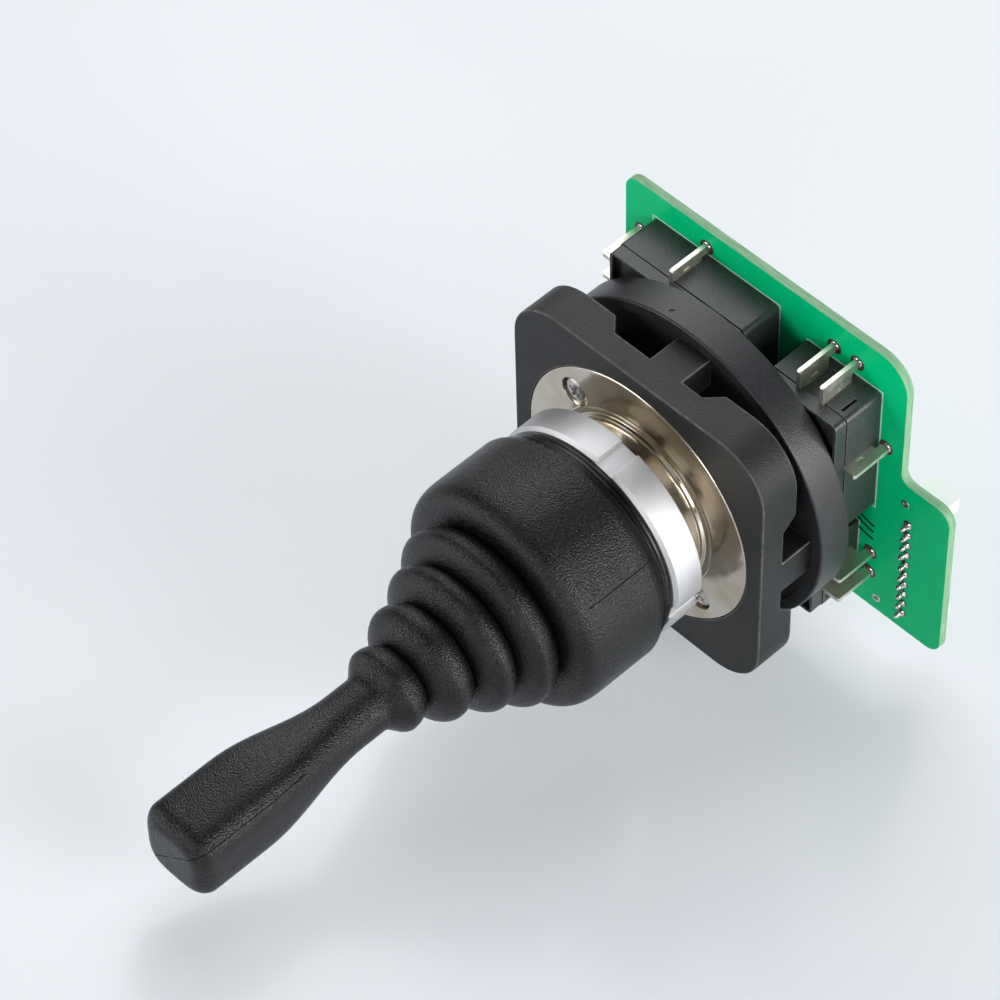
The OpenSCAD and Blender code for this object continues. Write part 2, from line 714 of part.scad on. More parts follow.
module gimbal_pins() {
  color([0.7, 0.7, 0.72]) for (a = [0, 180]) rotate(a) translate([gimbal_bore_r + pin_end_gap, 0, pivot_z])
    rotate([0, 90, 0]) cylinder(r = pin_r, h = outer_pin_reach - gimbal_bore_r - pin_end_gap);
}

module lever_shaft() {
  hub_top_z = plunger_z + actuator_h / 2;
  hub_bottom_z = plunger_z - actuator_h / 2;
  color([0.7, 0.7, 0.72]) difference() {
    union() {
      translate([0, 0, hub_bottom_z]) cylinder(r = stub_r, h = actuator_h);
      translate([0, 0, hub_top_z]) cylinder(r = shaft_r, h = tang_z - hub_top_z);
      translate([0, 0, tang_z]) cylinder(r = tang_r, h = tang_top_z - tang_z);
    }
    ring(shaft_r + past, shaft_r - clip_groove, clip_z, clip_z + clip_t);
    translate([0, shaft_r + past, pivot_z]) rotate([90, 0, 0]) cylinder(r = pin_r, h = 2 * (shaft_r + past));
    translate([0, 0, hub_bottom_z - past]) cylinder(r = hub_screw_r, h = hub_screw_l + past);
  }
}

module cross_pin() {
  reach = gimbal_r - cross_pin_inset;
  color([0.7, 0.7, 0.72]) translate([0, reach, pivot_z]) rotate([90, 0, 0])
    cylinder(r = pin_r, h = 2 * reach);
}

module spring_collar() {
  color(tin) {
    ring(collar_r, shaft_r, collar_z, collar_z + collar_t);
    ring(coil_r - wire_r - coil_gap, shaft_r, collar_z - collar_spigot_h, collar_z);
  }
}

module collar_clip() {
  color([0.5, 0.5, 0.52]) difference() {
    ring(clip_r, shaft_r - clip_groove, clip_z, clip_z + clip_t);
    translate([0, -shaft_r * 0.6, clip_z - past]) cube([clip_r + past, shaft_r * 1.2, clip_t + 2 * past]);
  }
}

module actuator() {
  color([0.82, 0.8, 0.74]) difference() {
    intersection() {
      translate([0, 0, plunger_z]) sphere(r = actuator_r);
      translate([0, 0, plunger_z - actuator_h / 2]) cylinder(r = actuator_r + past, h = actuator_h);
    }
    translate([0, 0, plunger_z - actuator_h]) cylinder(r = stub_r, h = 2 * actuator_h);
  }
}

module actuator_screw() {
  z = plunger_z - actuator_h / 2;
  color(tin) {
    difference() {
      translate([0, 0, z - hub_screw_head_h]) cylinder(r = hub_screw_head_r, h = hub_screw_head_h);
      translate([0, 0, z - hub_screw_head_h]) rotate([180, 0, 0]) cross_recess(hub_screw_head_r);
    }
    translate([0, 0, z]) cylinder(r = hub_screw_r, h = hub_screw_l - hub_screw_gap);
  }
}

module grip() {
  color(black) difference() {
    loft([for (s = grip_sections) section_ring(s)]);
    translate([0, 0, tang_z]) cylinder(r = tang_r, h = tang_top_z - tang_z);
  }
}

// One switch lies on the +X side, with its terminal end towards +Y
module switch_outline(inset) {
  translate([switch_in + inset, switch_end - switch_l + inset])
    difference() {
      square([switch_w - 2 * inset, switch_l - 2 * inset]);
      translate([switch_w - 2 * inset, switch_l - 2 * inset]) corner_cut(switch_corner_r);
      translate([switch_w - 2 * inset, 0]) rotate(-90) corner_cut(switch_corner_r);
    }
}

// What rounding takes off a corner that points to +X and +Y
module corner_cut(r) {
  difference() {
    translate([-r, -r]) square(r + lap);
    translate([-r, -r]) circle(r, $fn = 48);
  }
}

module switch_cover(turn) {
  color([0.13, 0.13, 0.14]) rotate(turn) difference() {
    translate([0, 0, cover_split_z]) linear_extrude(cover_t) switch_outline(cover_step);
    switch_holes();
    translate([
      switch_out - pocket_rim - pocket_w,
      switch_end - pocket_rim - pocket_l,
      disc_bottom_z - pocket_depth])
      cube([pocket_w, pocket_l, pocket_depth + past]);
    blades();
  }
}

module switch_case(turn) {
  color([0.15, 0.15, 0.16]) rotate(turn) difference() {
    translate([0, 0, board_top_z]) linear_extrude(cover_split_z - board_top_z) switch_outline(0);
    switch_holes();
    translate([switch_in - past, 0, plunger_z]) rotate([0, 90, 0])
      cylinder(r = plunger_r + plunger_clearance, h = past + plunger_root + plunger_travel + plunger_end_gap);
    blades();
    translate([switch_out - end_slot_inset, switch_end - end_slot_depth, plunger_z - end_slot_l * 0.44])
      cube([end_slot_w, end_slot_depth + past, end_slot_l]);
    translate([
      switch_out - blade_inset - blade_pitch,
      switch_end - end_recess_depth,
      board_top_z + end_recess_rise])
      cube([blade_pitch - blade_t, end_recess_depth + past, end_recess_h]);
  }
}

module switch_plunger(turn) {
  color([0.75, 0.2, 0.15]) rotate(turn) translate([plunger_tip_x, 0, plunger_z]) rotate([0, 90, 0])
    rotate_extrude() polygon(concat(
      [[0, 0]],
      [for (a = [15:15:90]) [plunger_r * sin(a), plunger_dome * (1 - cos(a))]],
      [[plunger_r, plunger_out + plunger_root], [0, plunger_out + plunger_root]]));
}

// Profile of a blade: x runs out of the switch from its wall, y is the height
module blade_profile(out) {
  difference() {
    polygon([
      [-blade_root, blade_top_z],
      [out, blade_top_z],
      [out, board_bottom_z - pin_stick_out],
      [out - pin_w, board_bottom_z - pin_stick_out],
      [out - pin_w, board_top_z + blade_stand_off],
      [-blade_root, board_top_z + blade_stand_off]]);
    translate([blade_slot_x, blade_top_z - blade_slot_drop]) square([blade_slot_w, blade_slot_h]);
  }
}

module blades() {
  for (k = [0, 1])
    translate([switch_out - blade_inset - k * blade_pitch, switch_end, 0])
      rotate([90, 0, -90]) mirror([1, 0, 0]) linear_extrude(blade_t) blade_profile(blade_out);
  translate([switch_out, switch_end - side_blade_inset, 0]) rotate([90, 0, 0])
    linear_extrude(blade_t) blade_profile(side_blade_out);
}

module switch_terminals(turn) {
  color(nickel) rotate(turn) blades();
}

// Middle of each blade's pin, with the pin lying along X or Y
module at_blade_pins() {
  x = switch_out - blade_inset - blade_t / 2;
  y = switch_end - side_blade_inset - blade_t / 2;
  for (k = [0, 1]) translate([x - k * blade_pitch, switch_end + blade_out - pin_w / 2, 0])
    rotate(90) children();
  translate([switch_out + side_blade_out - pin_w / 2, y, 0]) children();
}

module at_posts() {
  for (i = [0:posts - 1]) translate([-post_x, post_y + i * post_pitch, 0]) children();
}

module board_outline() {
  difference() {
    union() {
      translate([-board_x_near, -board_y_low])
        square([board_x_near + board_x_far, board_y_low + board_y_high]);
      translate([-tongue_x, -tongue_y]) square([tongue_x, tongue_y + board_y_high]);
      translate([-board_x_near, -tongue_y]) rotate(180) corner_fill(board_fillet_r);
    }
    translate([board_x_far, board_y_high]) corner_cut(board_r);
    translate([board_x_far, -board_y_low]) rotate(-90) corner_cut(board_r);
    translate([-board_x_near, -board_y_low]) rotate(180) corner_cut(board_big_r);
    translate([-tongue_x, -tongue_y]) rotate(180) corner_cut(board_r);
    translate([-tongue_x, board_y_high]) rotate(90) corner_cut(board_r);
  }
}

// What a fillet adds in an inner corner that opens to +X and +Y
module corner_fill(r) {
  difference() {
    translate([-lap, -lap]) square(r + lap);
    translate([r, r]) circle(r, $fn = 48);
  }
}

module circuit_board() {
  color([0.05, 0.5, 0.22]) difference() {
    translate([0, 0, board_bottom_z]) linear_extrude(board_t) board_outline();
    for (a = switch_turns) rotate(a) at_blade_pins()
      translate([0, 0, board_bottom_z - past]) cylinder(r = blade_hole_r, h = board_t + 2 * past, $fn = 32);
    at_posts() translate([0, 0, board_bottom_z - past])
      cylinder(r = post_hole_r, h = board_t + 2 * past, $fn = 24);
  }
}

module terminal_solder() {
  color(tin) for (a = switch_turns) rotate(a) at_blade_pins() difference() {
    rotate_extrude($fn = 32) polygon([
      [0, board_top_z + solder_h],
      [blade_hole_r, board_top_z + solder_h],
      [solder_r, board_top_z],
      [blade_hole_r, board_top_z],
      [blade_hole_r, board_bottom_z],
      [solder_r, board_bottom_z],
      [blade_hole_r, board_bottom_z - solder_h],
      [0, board_bottom_z - solder_h]]);
    translate([-pin_w / 2, -blade_t / 2, board_bottom_z - 2 * solder_h])
      cube([pin_w, blade_t, board_t + 4 * solder_h]);
  }
}

header_x1 = -post_x + header_back;
header_x0 = header_x1 - header_d;
header_l = row_l + 2 * header_end;
header_y0 = post_y - header_end;
header_bottom_z = board_bottom_z - header_h;
header_body_z = board_bottom_z - header_body_h;
socket_l = header_l - 2 * (header_ear_w + socket_end_gap);

module post_bars() {
  tip_z = header_body_z + post_tip_gap;
  at_posts() translate([-post_w / 2, -post_w / 2, tip_z])
    cube([post_w, post_w, board_top_z + post_stick_out - tip_z]);
}

module header_housing() {
  y_mid = header_y0 + header_l / 2;
  color([0.93, 0.93, 0.92]) difference() {
    union() {
      translate([header_x0 + header_step, header_y0, header_body_z])
        cube([header_d - 2 * header_step, header_l, header_body_h]);
      for (y = [header_y0, header_y0 + header_l - header_ear_w]) translate([header_x0, y, header_bottom_z])
        cube([header_d, header_ear_w, header_h]);
    }
    translate([header_x0 + header_step + header_wall, y_mid - socket_l / 2, header_body_z - past])
      cube([header_d - 2 * (header_step + header_wall), socket_l, socket_d + past]);
    for (y = [-key_offset, key_offset])
      translate([header_x0 - past, y_mid + y - key_w / 2, header_body_z - past])
        cube([header_step + header_wall + 2 * past, key_w, socket_d + past]);
    post_bars();
  }
}

module header_pins() {
  color([0.75, 0.73, 0.66]) post_bars();
}

module header_solder() {
  color(tin) at_posts() difference() {
    translate([0, 0, board_top_z])
      cylinder(r1 = post_solder_r, r2 = post_solder_tip_r, h = post_solder_h, $fn = 24);
    translate([-post_w / 2, -post_w / 2, board_top_z - past]) cube([post_w, post_w, post_stick_out + past]);
  }
}

mounting_block();
mounting_flange();
flange_screws();
ring_nut();
boot_skirt();
bellows();
boot_retainer();
base_disc();
spring_seat();
return_spring();
gimbal_ring();
gimbal_pins();
lever_shaft();
cross_pin();
spring_collar();
collar_clip();
actuator();
actuator_screw();
grip();
for (i = [0:3]) {
  switch_case(switch_turns[i]);
  switch_cover(switch_turns[i]);
  switch_plunger(switch_turns[i]);
  switch_terminals(switch_turns[i]);
}
circuit_board();
terminal_solder();
header_housing();
header_pins();
header_solder();
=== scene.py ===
import math
import bmesh
import bpy
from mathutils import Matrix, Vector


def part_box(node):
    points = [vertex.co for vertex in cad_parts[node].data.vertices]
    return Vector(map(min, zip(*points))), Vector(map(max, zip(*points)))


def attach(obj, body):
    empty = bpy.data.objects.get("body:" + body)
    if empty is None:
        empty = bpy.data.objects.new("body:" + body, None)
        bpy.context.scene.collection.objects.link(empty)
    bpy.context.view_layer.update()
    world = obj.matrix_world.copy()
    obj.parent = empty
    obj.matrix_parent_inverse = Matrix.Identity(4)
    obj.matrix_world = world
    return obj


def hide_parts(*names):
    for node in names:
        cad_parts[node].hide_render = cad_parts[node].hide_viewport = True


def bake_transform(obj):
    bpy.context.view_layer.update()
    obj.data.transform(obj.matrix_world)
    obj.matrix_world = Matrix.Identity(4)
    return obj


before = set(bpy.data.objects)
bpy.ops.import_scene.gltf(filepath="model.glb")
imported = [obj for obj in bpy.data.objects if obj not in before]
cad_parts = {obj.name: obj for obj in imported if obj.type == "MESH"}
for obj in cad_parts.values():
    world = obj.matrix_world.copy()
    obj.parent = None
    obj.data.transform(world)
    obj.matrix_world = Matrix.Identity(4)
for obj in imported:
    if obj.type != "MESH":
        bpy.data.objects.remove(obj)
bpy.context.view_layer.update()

MM = 0.001
TINY = 1e-4  # mm, within which two places are the same


# ---- Workbench: how a piece is begun, shaped and finished (all sizes in mm) ----

def lay_tools_down():
    """Leaves edit mode with nothing selected."""
    if bpy.context.object and bpy.context.object.mode != "OBJECT":
        bpy.ops.object.mode_set(mode="OBJECT")
    bpy.ops.object.select_all(action="DESELECT")


def take(piece):
    """Selects one piece alone and makes it the one that is worked on."""
    lay_tools_down()
    piece.select_set(True)
    bpy.context.view_layer.objects.active = piece


def named(name):
    piece = bpy.context.object
    piece.name = name
    piece.data.name = name
    return piece


def settle(piece):
    """Puts the piece's place into its mesh, with its object at the origin."""
    take(piece)
    bpy.ops.object.transform_apply(location=True, rotation=True, scale=True)
    return piece


def open_mesh(piece, mode="VERT"):
    take(piece)
    bpy.ops.object.mode_set(mode="EDIT")
    bpy.ops.mesh.select_mode(type=mode)
    bpy.ops.mesh.select_all(action="DESELECT")
    return bmesh.from_edit_mesh(piece.data)


def close_mesh(piece):
    bmesh.update_edit_mesh(piece.data)
    bpy.ops.object.mode_set(mode="OBJECT")
    return piece


def faced_outwards(piece):
    """Turns every face of an open mesh outwards, and closes the mesh."""
    bpy.ops.mesh.select_all(action="SELECT")
    bpy.ops.mesh.normals_make_consistent(inside=False)
    return close_mesh(piece)


def pick(piece, mode, fits):
    bm = open_mesh(piece, mode)
    for part in {"VERT": bm.verts, "EDGE": bm.edges, "FACE": bm.faces}[mode]:
        part.select = bool(fits(part))
    bm.select_flush_mode()
    bmesh.update_edit_mesh(piece.data)


def pick_edges(piece, rule):
    """Selects the edges whose two ends, in mm, fit the rule."""
    pick(piece, "EDGE", lambda edge: rule(*(v.co / MM for v in edge.verts)))


def pick_faces(piece, rule):
    """Selects the faces whose middle in mm and normal fit the rule."""
    pick(piece, "FACE", lambda face: rule(face.calc_center_median() / MM, face.normal))


def pick_points(piece, rule):
    """Selects the points whose place in mm fits the rule."""
    pick(piece, "VERT", lambda vert: rule(vert.co / MM))


def drawn_outline(name, points):
    """Starts a piece as a closed chain of edges drawn from point to point, all selected."""
    lay_tools_down()
    bpy.ops.mesh.primitive_plane_add(size=MM, location=[c * MM for c in points[0]])
    piece = named(name)
    open_mesh(piece)
    bpy.ops.mesh.select_all(action="SELECT")
    bpy.ops.mesh.merge(type="CENTER")
    here = points[0]
    for there in points[1:] + points[:1]:
        step = [(b - a) * MM for a, b in zip(here, there)]
        bpy.ops.mesh.extrude_region_move(TRANSFORM_OT_translate={"value": step})
        here = there
    bpy.ops.mesh.select_all(action="SELECT")
    bpy.ops.mesh.remove_doubles(threshold=TINY * MM)
    return piece


def turned(name, outline, steps=120):
    """A piece turned about Z from a closed outline of radius and height."""
    piece = drawn_outline(name, [(r, 0, z) for r, z in outline])
    bpy.ops.mesh.spin(steps=steps, angle=math.tau, center=(0, 0, 0), axis=(0, 0, 1))
    bpy.ops.mesh.select_all(action="SELECT")
    bpy.ops.mesh.remove_doubles(threshold=TINY * MM)
    bpy.ops.mesh.dissolve_degenerate(threshold=TINY * MM)
    return settle(faced_outwards(piece))


def plate(name, outline, z, thickness):
    """A flat piece cut from sheet along a closed outline of x and y."""
    piece = drawn_outline(name, [(x, y, z) for x, y in outline])
    bpy.ops.mesh.edge_face_add()
    bpy.ops.mesh.extrude_region_move(TRANSFORM_OT_translate={"value": (0, 0, thickness * MM)})
    return settle(faced_outwards(piece))


def block(name, low, high):
    """A cube drawn out between two corners."""
    lay_tools_down()
    bpy.ops.mesh.primitive_cube_add(
        size=1,
        location=[(a + b) / 2 * MM for a, b in zip(low, high)],
        scale=[(b - a) * MM for a, b in zip(low, high)])
    return settle(named(name))


def rod(name, radius, low, high, sides=48, at=(0, 0)):
    """A round rod that stands along Z."""
    lay_tools_down()
    bpy.ops.mesh.primitive_cylinder_add(
        vertices=sides, radius=radius * MM, depth=(high - low) * MM,
        location=(at[0] * MM, at[1] * MM, (low + high) / 2 * MM))
    return settle(named(name))


def placed(piece, move=(0, 0, 0), turn=(0, 0, 0)):
    """Turns a piece about the origin, in degrees, and then moves it."""
    piece.rotation_euler = [math.radians(a) for a in turn]
    piece.location = [c * MM for c in move]
    return settle(piece)


def copied(piece, name, move=(0, 0, 0), turn=(0, 0, 0)):
    """A copy with its own mesh, turned and moved."""
    take(piece)
    bpy.ops.object.duplicate(linked=False)
    return placed(named(name), move, turn)


def four_ways(piece):
    """A piece with three copies of it, a quarter turn apart about Z."""
    return [copied(piece, piece.name, turn=(0, 0, a)) for a in (90, 180, 270)] + [piece]


def joined(name, pieces):
    lay_tools_down()
    for piece in pieces:
        piece.select_set(True)
    bpy.context.view_layer.objects.active = pieces[0]
    bpy.ops.object.join()
    return named(name)


def carve(piece, tools, operation="DIFFERENCE"):
    """Cuts the tools' shapes out of a piece, or adds them to it, and puts the tools away."""
    for tool in tools:
        take(piece)
        change = piece.modifiers.new("carve", "BOOLEAN")
        change.operation = operation
        change.solver = "EXACT"
        change.object = tool
        bpy.ops.object.modifier_apply(modifier=change.name)
        bpy.data.objects.remove(tool)


def taper(piece, across_x, across_y):
    """Widens or narrows a block's underside."""
    pick_faces(piece, lambda c, n: n.z < -0.9)
    bpy.ops.transform.resize(value=(across_x, across_y, 1))
    close_mesh(piece)


def round_edges(piece, width, steps, rule):
    """Rounds the edges that fit the rule."""
    pick_edges(piece, rule)
    bpy.ops.mesh.bevel(offset=width * MM, segments=steps, affect="EDGES", clamp_overlap=True)
    return close_mesh(piece)


def break_edges(piece, width, steps=2, angle=50):
    """Takes the sharpness off every edge, as a mould or a file does."""
    take(piece)
    edge = piece.modifiers.new("broken edges", "BEVEL")
    edge.width = width * MM
    edge.segments = steps
    edge.limit_method = "ANGLE"
    edge.angle_limit = math.radians(angle)
    bpy.ops.object.modifier_apply(modifier=edge.name)


def smooth(piece, angle=40):
    """Smooth shading up to an angle, with flat faces kept flat beside their rounded edges."""
    take(piece)
    bpy.ops.object.shade_smooth_by_angle(angle=math.radians(angle))
    even = piece.modifiers.new("even shading", "WEIGHTED_NORMAL")
    even.weight = 100
    even.keep_sharp = True
    bpy.ops.object.modifier_apply(modifier=even.name)
    return piece


def upright(a, b):
    """Whether an edge runs along Z."""
    return abs(a.x - b.x) < TINY and abs(a.y - b.y) < TINY


def arc(cx, cy, r, start, end, steps):
    """Points on an arc, in degrees."""
    angles = [math.radians(start + (end - start) * k / steps) for k in range(steps + 1)]
    return [(cx + r * math.cos(a), cy + r * math.sin(a)) for a in angles]


def two_finishes(piece, main, other, rule):
    """Gives a piece its main finish, and another one to the faces that fit the rule."""
    piece.data.materials.append(main)
    piece.data.materials.append(other)
    pick_faces(piece, rule)
    piece.active_material_index = 1
    bpy.ops.object.material_slot_assign()
    close_mesh(piece)


def hand_over(piece, finish, nodes=(), body="housing"):
    """Gives a finished piece its material and its body, and hides the nodes it stands for."""
    if finish:
        piece.data.materials.clear()
        piece.data.materials.append(finish)
    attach(piece, body)
    if nodes:
        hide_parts(*nodes)


def hand_over_bending(piece, finish, node):
    """Gives a piece its finish, puts its place into its mesh and hides the node it stands for."""
    piece.data.materials.append(finish)
    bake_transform(piece)
    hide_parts(node)


# ---- Finishes ----

class Finish:
    """One procedural material: its shader and the textures that feed it."""

    def __init__(self, name, colour, rough, metal=0.0):
        self.material = bpy.data.materials.new(name)
        self.material.use_nodes = True
        self.tree = self.material.node_tree
        self.shader = self.tree.nodes["Principled BSDF"]
        self.plain("Base Color", (*colour, 1))
        self.plain("Roughness", rough)
        self.plain("Metallic", metal)
        self.place = self.add("ShaderNodeTexCoord").outputs["Object"]

    def plain(self, name, value):
        self.shader.inputs[name].default_value = value

    def join(self, source, target):
        self.tree.links.new(source, target)

    def add(self, kind, feeds=(), **settings):
        """A node with its settings, its sockets fed with numbers or from other nodes."""
        node = self.tree.nodes.new(kind)
        for key, value in settings.items():
            setattr(node, key, value)
        for key, value in dict(feeds).items():
            if isinstance(value, bpy.types.NodeSocket):
                self.join(value, node.inputs[key])
            else:
                node.inputs[key].default_value = value
        return node

    def noise(self, grain_mm, detail=3.0, roughness=0.5, place=None):
        return self.add("ShaderNodeTexNoise", {
            "Vector": place or self.place, "Scale": 1 / (grain_mm * MM),
            "Detail": detail, "Roughness": roughness}).outputs["Fac"]

    def cells(self, size_mm):
        """Distance from the nearest of many scattered points."""
        return self.add("ShaderNodeTexVoronoi", {
            "Vector": self.place, "Scale": 1 / (size_mm * MM)}).outputs["Distance"]

    def between(self, value, from_low, from_high, to_low=0.0, to_high=1.0):
        """Maps a value from one range to another, and keeps it there."""
        return self.add("ShaderNodeMapRange", {
            "Value": value, "From Min": from_low, "From Max": from_high,
            "To Min": to_low, "To Max": to_high}).outputs["Result"]

    def maths(self, operation, a, b):
        return self.add("ShaderNodeMath", {0: a, 1: b}, operation=operation).outputs["Value"]

    def times(self, a, b):
        return self.maths("MULTIPLY", a, b)

    def plus(self, a, b):
        return self.maths("ADD", a, b)

    def mixed(self, factor, a, b):
        """A colour between two, each a colour or a socket."""
        node = self.add("ShaderNodeMix", {"Factor": factor}, data_type="RGBA")
        for key, value in (("A", a), ("B", b)):
            socket = [s for s in node.inputs if s.name == key and s.type == "RGBA"][0]
            if isinstance(value, tuple):
                socket.default_value = (*value, 1)
            else:
                self.join(value, socket)
        return [s for s in node.outputs if s.type == "RGBA"][0]

    def axis(self, letter):
        """One of the piece's coordinates, in metres."""
        return self.add("ShaderNodeSeparateXYZ", {0: self.place}).outputs[letter]

    def radius(self):
        """Distance from the lever's axis, in metres."""
        x, y = self.axis("X"), self.axis("Y")
        return self.maths("SQRT", self.plus(self.times(x, x), self.times(y, y)), 0)

    def colour(self, socket):
        self.join(socket, self.shader.inputs["Base Color"])

    def mottled(self, value, low, high, first, second):
        """Colours the piece from one tone to another as the value goes from low to high."""
        self.colour(self.mixed(self.between(value, low, high), first, second))

    def rough(self, socket):
        self.join(socket, self.shader.inputs["Roughness"])

    def roughened(self, noise, low, high):
        """Roughness that follows a noise from a low to a high value."""
        self.rough(self.between(noise, 0.3, 0.7, low, high))

    def bump(self, heights):
        """Relief from heights that run from 0 to 1, each with its depth in mm."""
        below = {}
        for height, depth_mm in heights:
            node = self.add("ShaderNodeBump", {
                "Height": height, "Distance": depth_mm * MM, "Strength": 1.0, **below})
            below = {"Normal": node.outputs["Normal"]}
        self.join(below["Normal"], self.shader.inputs["Normal"])

    def worn_edges(self, width_mm):
        """1 along sharp edges, 0 on the faces."""
        rounded = self.add("ShaderNodeBevel", {"Radius": width_mm * MM}, samples=4)
        face = self.add("ShaderNodeNewGeometry")
        alike = self.add(
            "ShaderNodeVectorMath", {0: rounded.outputs[0], 1: face.outputs["Normal"]},
            operation="DOT_PRODUCT").outputs["Value"]
        return self.between(alike, 0.93, 0.995, 1.0, 0.0)


def moulded_rubber():
    """Matt black rubber with a fine leather grain that glitters, with pale specks painted in as
    glints, smooth by the ring nut.
    """
    rubber = Finish("moulded rubber", (0.010, 0.010, 0.011), 0.6)
    rubber.plain("Specular IOR Level", 0.32)
    grain = rubber.noise(0.42, 3, 0.6)
    pebbles = rubber.cells(0.28)
    cloud = rubber.noise(9)
    smooth_below, grained_above = 14.2 * MM, 15.4 * MM
    grained = rubber.between(rubber.axis("Z"), smooth_below, grained_above, 0.05, 1.0)
    # pale specks painted into the colour as glints; the same specks are made a little smoother
    painted_glint_specks = rubber.times(rubber.between(rubber.noise(0.24, 1), 0.62, 0.70), grained)
    black = rubber.mixed(cloud, (0.002, 0.002, 0.0023), (0.0042, 0.0042, 0.0047))
    rubber.colour(rubber.mixed(rubber.times(painted_glint_specks, 0.8), black, (0.035, 0.035, 0.037)))
    patchy = rubber.plus(
        rubber.between(cloud, 0.3, 0.7, -0.03, 0.03),
        rubber.between(grain, 0.35, 0.7, 0.36, 0.24))
    rubber.rough(rubber.maths("SUBTRACT", patchy, rubber.times(painted_glint_specks, 0.1)))
    rubber.bump([(rubber.times(grain, grained), 0.045), (rubber.times(pebbles, grained), -0.09)])
    return rubber.material


def moulded_plastic(name, colour, worn, rough, shine, grain_mm, depth, edge):
    """Moulded plastic with a fine spark-eroded grain, specks of dust and lighter edges."""
    plastic = Finish(name, colour, rough)
    plastic.plain("Specular IOR Level", shine)
    grain = plastic.noise(grain_mm, 4, 0.6)
    cloud = plastic.noise(14, 4, 0.55)
    dust = plastic.times(
        plastic.between(plastic.cells(3.2), 0.03, 0.05, 1.0, 0.0),
        plastic.between(plastic.noise(7, 2), 0.48, 0.56))
    base = plastic.mixed(
        plastic.between(grain, 0.52, 0.72),
        plastic.mixed(cloud, colour, tuple(c * 1.35 for c in colour)),
        tuple(c * 2.6 for c in colour))
    dusty = plastic.mixed(dust, base, (0.16, 0.16, 0.16))
    wear = plastic.times(
        plastic.worn_edges(edge), plastic.between(plastic.noise(1.6, 4, 0.6), 0.35, 0.65, 0.3))
    plastic.colour(plastic.mixed(wear, dusty, worn))
    plastic.roughened(cloud, rough - 0.05, rough + 0.06)
    plastic.bump([(grain, depth)])
    return plastic.material


def plated_nickel():
    """Polished nickel over a die casting: warm, with brown patches painted in as reflection of
    dark surroundings, a little wavy, with fine wiping marks.
    """
    nickel = Finish("plated nickel", (0.66, 0.60, 0.53), 0.16, 1.0)
    wave = nickel.noise(5.5, 2, 0.45)
    pits = nickel.between(nickel.noise(0.5, 3, 0.6), 0.68, 0.8)
    # the brown side of this mottle is painted reflection of dark brown surroundings; the paler
    # side is the metal's own warm tone
    nickel.mottled(nickel.noise(8), 0.35, 0.65, (0.64, 0.55, 0.42), (0.78, 0.73, 0.65))
    nickel.rough(nickel.between(nickel.noise(2.2, 5, 0.65), 0.3, 0.75, 0.12, 0.26))
    nickel.bump([(wave, 0.10), (pits, 0.012)])
    return nickel.material


def turned_aluminium():
    """Satin aluminium with the fine rings that the turning tool leaves."""
    metal = Finish("turned aluminium", (0.84, 0.85, 0.87), 0.24, 1.0)
    rings = metal.add("ShaderNodeCombineXYZ", {"X": metal.radius(), "Z": metal.axis("Z")})
    lines = metal.noise(0.09, 3, 0.6, rings.outputs["Vector"])
    smear = metal.noise(5.0)
    metal.mottled(smear, 0.3, 0.7, (0.60, 0.60, 0.61), (0.68, 0.68, 0.68))
    metal.rough(metal.plus(
        metal.between(lines, 0.3, 0.7, 0.50, 0.60), metal.between(smear, 0.3, 0.7, -0.02, 0.03)))
    metal.bump([(lines, 0.003)])
    return metal.material


def bright_metal(name, colour, dark, rough, spot_mm=0.8, depth=0.01):
    """Plain plated, drawn or tinned metal with darker patches."""
    metal = Finish(name, colour, rough, 1.0)
    patches = metal.noise(spot_mm, 5, 0.6)
    metal.mottled(patches, 0.42, 0.68, colour, dark)
    metal.roughened(patches, rough - 0.06, rough + 0.12)
    metal.bump([(metal.noise(spot_mm * 0.4), depth)])
    return metal.material


def solder_mask():
    """Glossy green lacquer over glass cloth."""
    mask = Finish("solder mask", (0.0, 0.25, 0.075), 0.22)
    mask.plain("Specular IOR Level", 0.07)
    weave = {"Vector": mask.place, "Scale": 1 / (1.6 * MM)}
    cloth = mask.times(*(
        mask.add("ShaderNodeTexWave", weave, wave_type="BANDS", bands_direction=way).outputs["Fac"]
        for way in "XY"))
    mask.colour(mask.mixed(mask.noise(6), (0.0, 0.51, 0.185), (0.0, 0.61, 0.23)))
    mask.roughened(mask.noise(1.5), 0.16, 0.30)
    mask.bump([(cloth, 0.002), (mask.noise(0.8), 0.003)])
    return mask.material


def brown_flux():
    """Dark reddish-brown glassy residue with a few paler spots."""
    flux = Finish("brown flux", (0.05, 0.018, 0.012), 0.3)
    spots = flux.noise(0.35, 3, 0.6)
    flux.mottled(spots, 0.45, 0.7, (0.035, 0.012, 0.009), (0.14, 0.07, 0.055))
    flux.roughened(spots, 0.22, 0.5)
    flux.bump([(spots, 0.04)])
    return flux.material


def board_edge_finish():
    """Sawn glass-fibre edge, pale green with fine layers."""
    edge = Finish("sawn board edge", (0.42, 0.60, 0.25), 0.6)
    sheets = edge.add("ShaderNodeMapping", {"Vector": edge.place, "Scale": (0.05, 0.05, 1)})
    layers = edge.noise(0.22, 2, 0.5, sheets.outputs["Vector"])
    fibres = edge.noise(0.12, 3, 0.6)
    edge.mottled(layers, 0.35, 0.65, (0.15, 0.36, 0.18), (0.28, 0.46, 0.29))
    edge.roughened(fibres, 0.5, 0.75)
    edge.bump([(fibres, 0.03)])
    return edge.material


def pale_plastic(name, colour, shade, rough, milky=0.08):
    """Pale moulded plastic, slightly clouded."""
    plastic = Finish(name, colour, rough)
    plastic.mottled(plastic.noise(2.5), 0.35, 0.65, colour, shade)
    plastic.roughened(plastic.noise(0.5), rough - 0.06, rough + 0.08)
    plastic.bump([(plastic.noise(0.3), 0.01)])
    plastic.plain("Subsurface Weight", milky)
    plastic.plain("Subsurface Scale", 0.5 * MM)
    return plastic.material


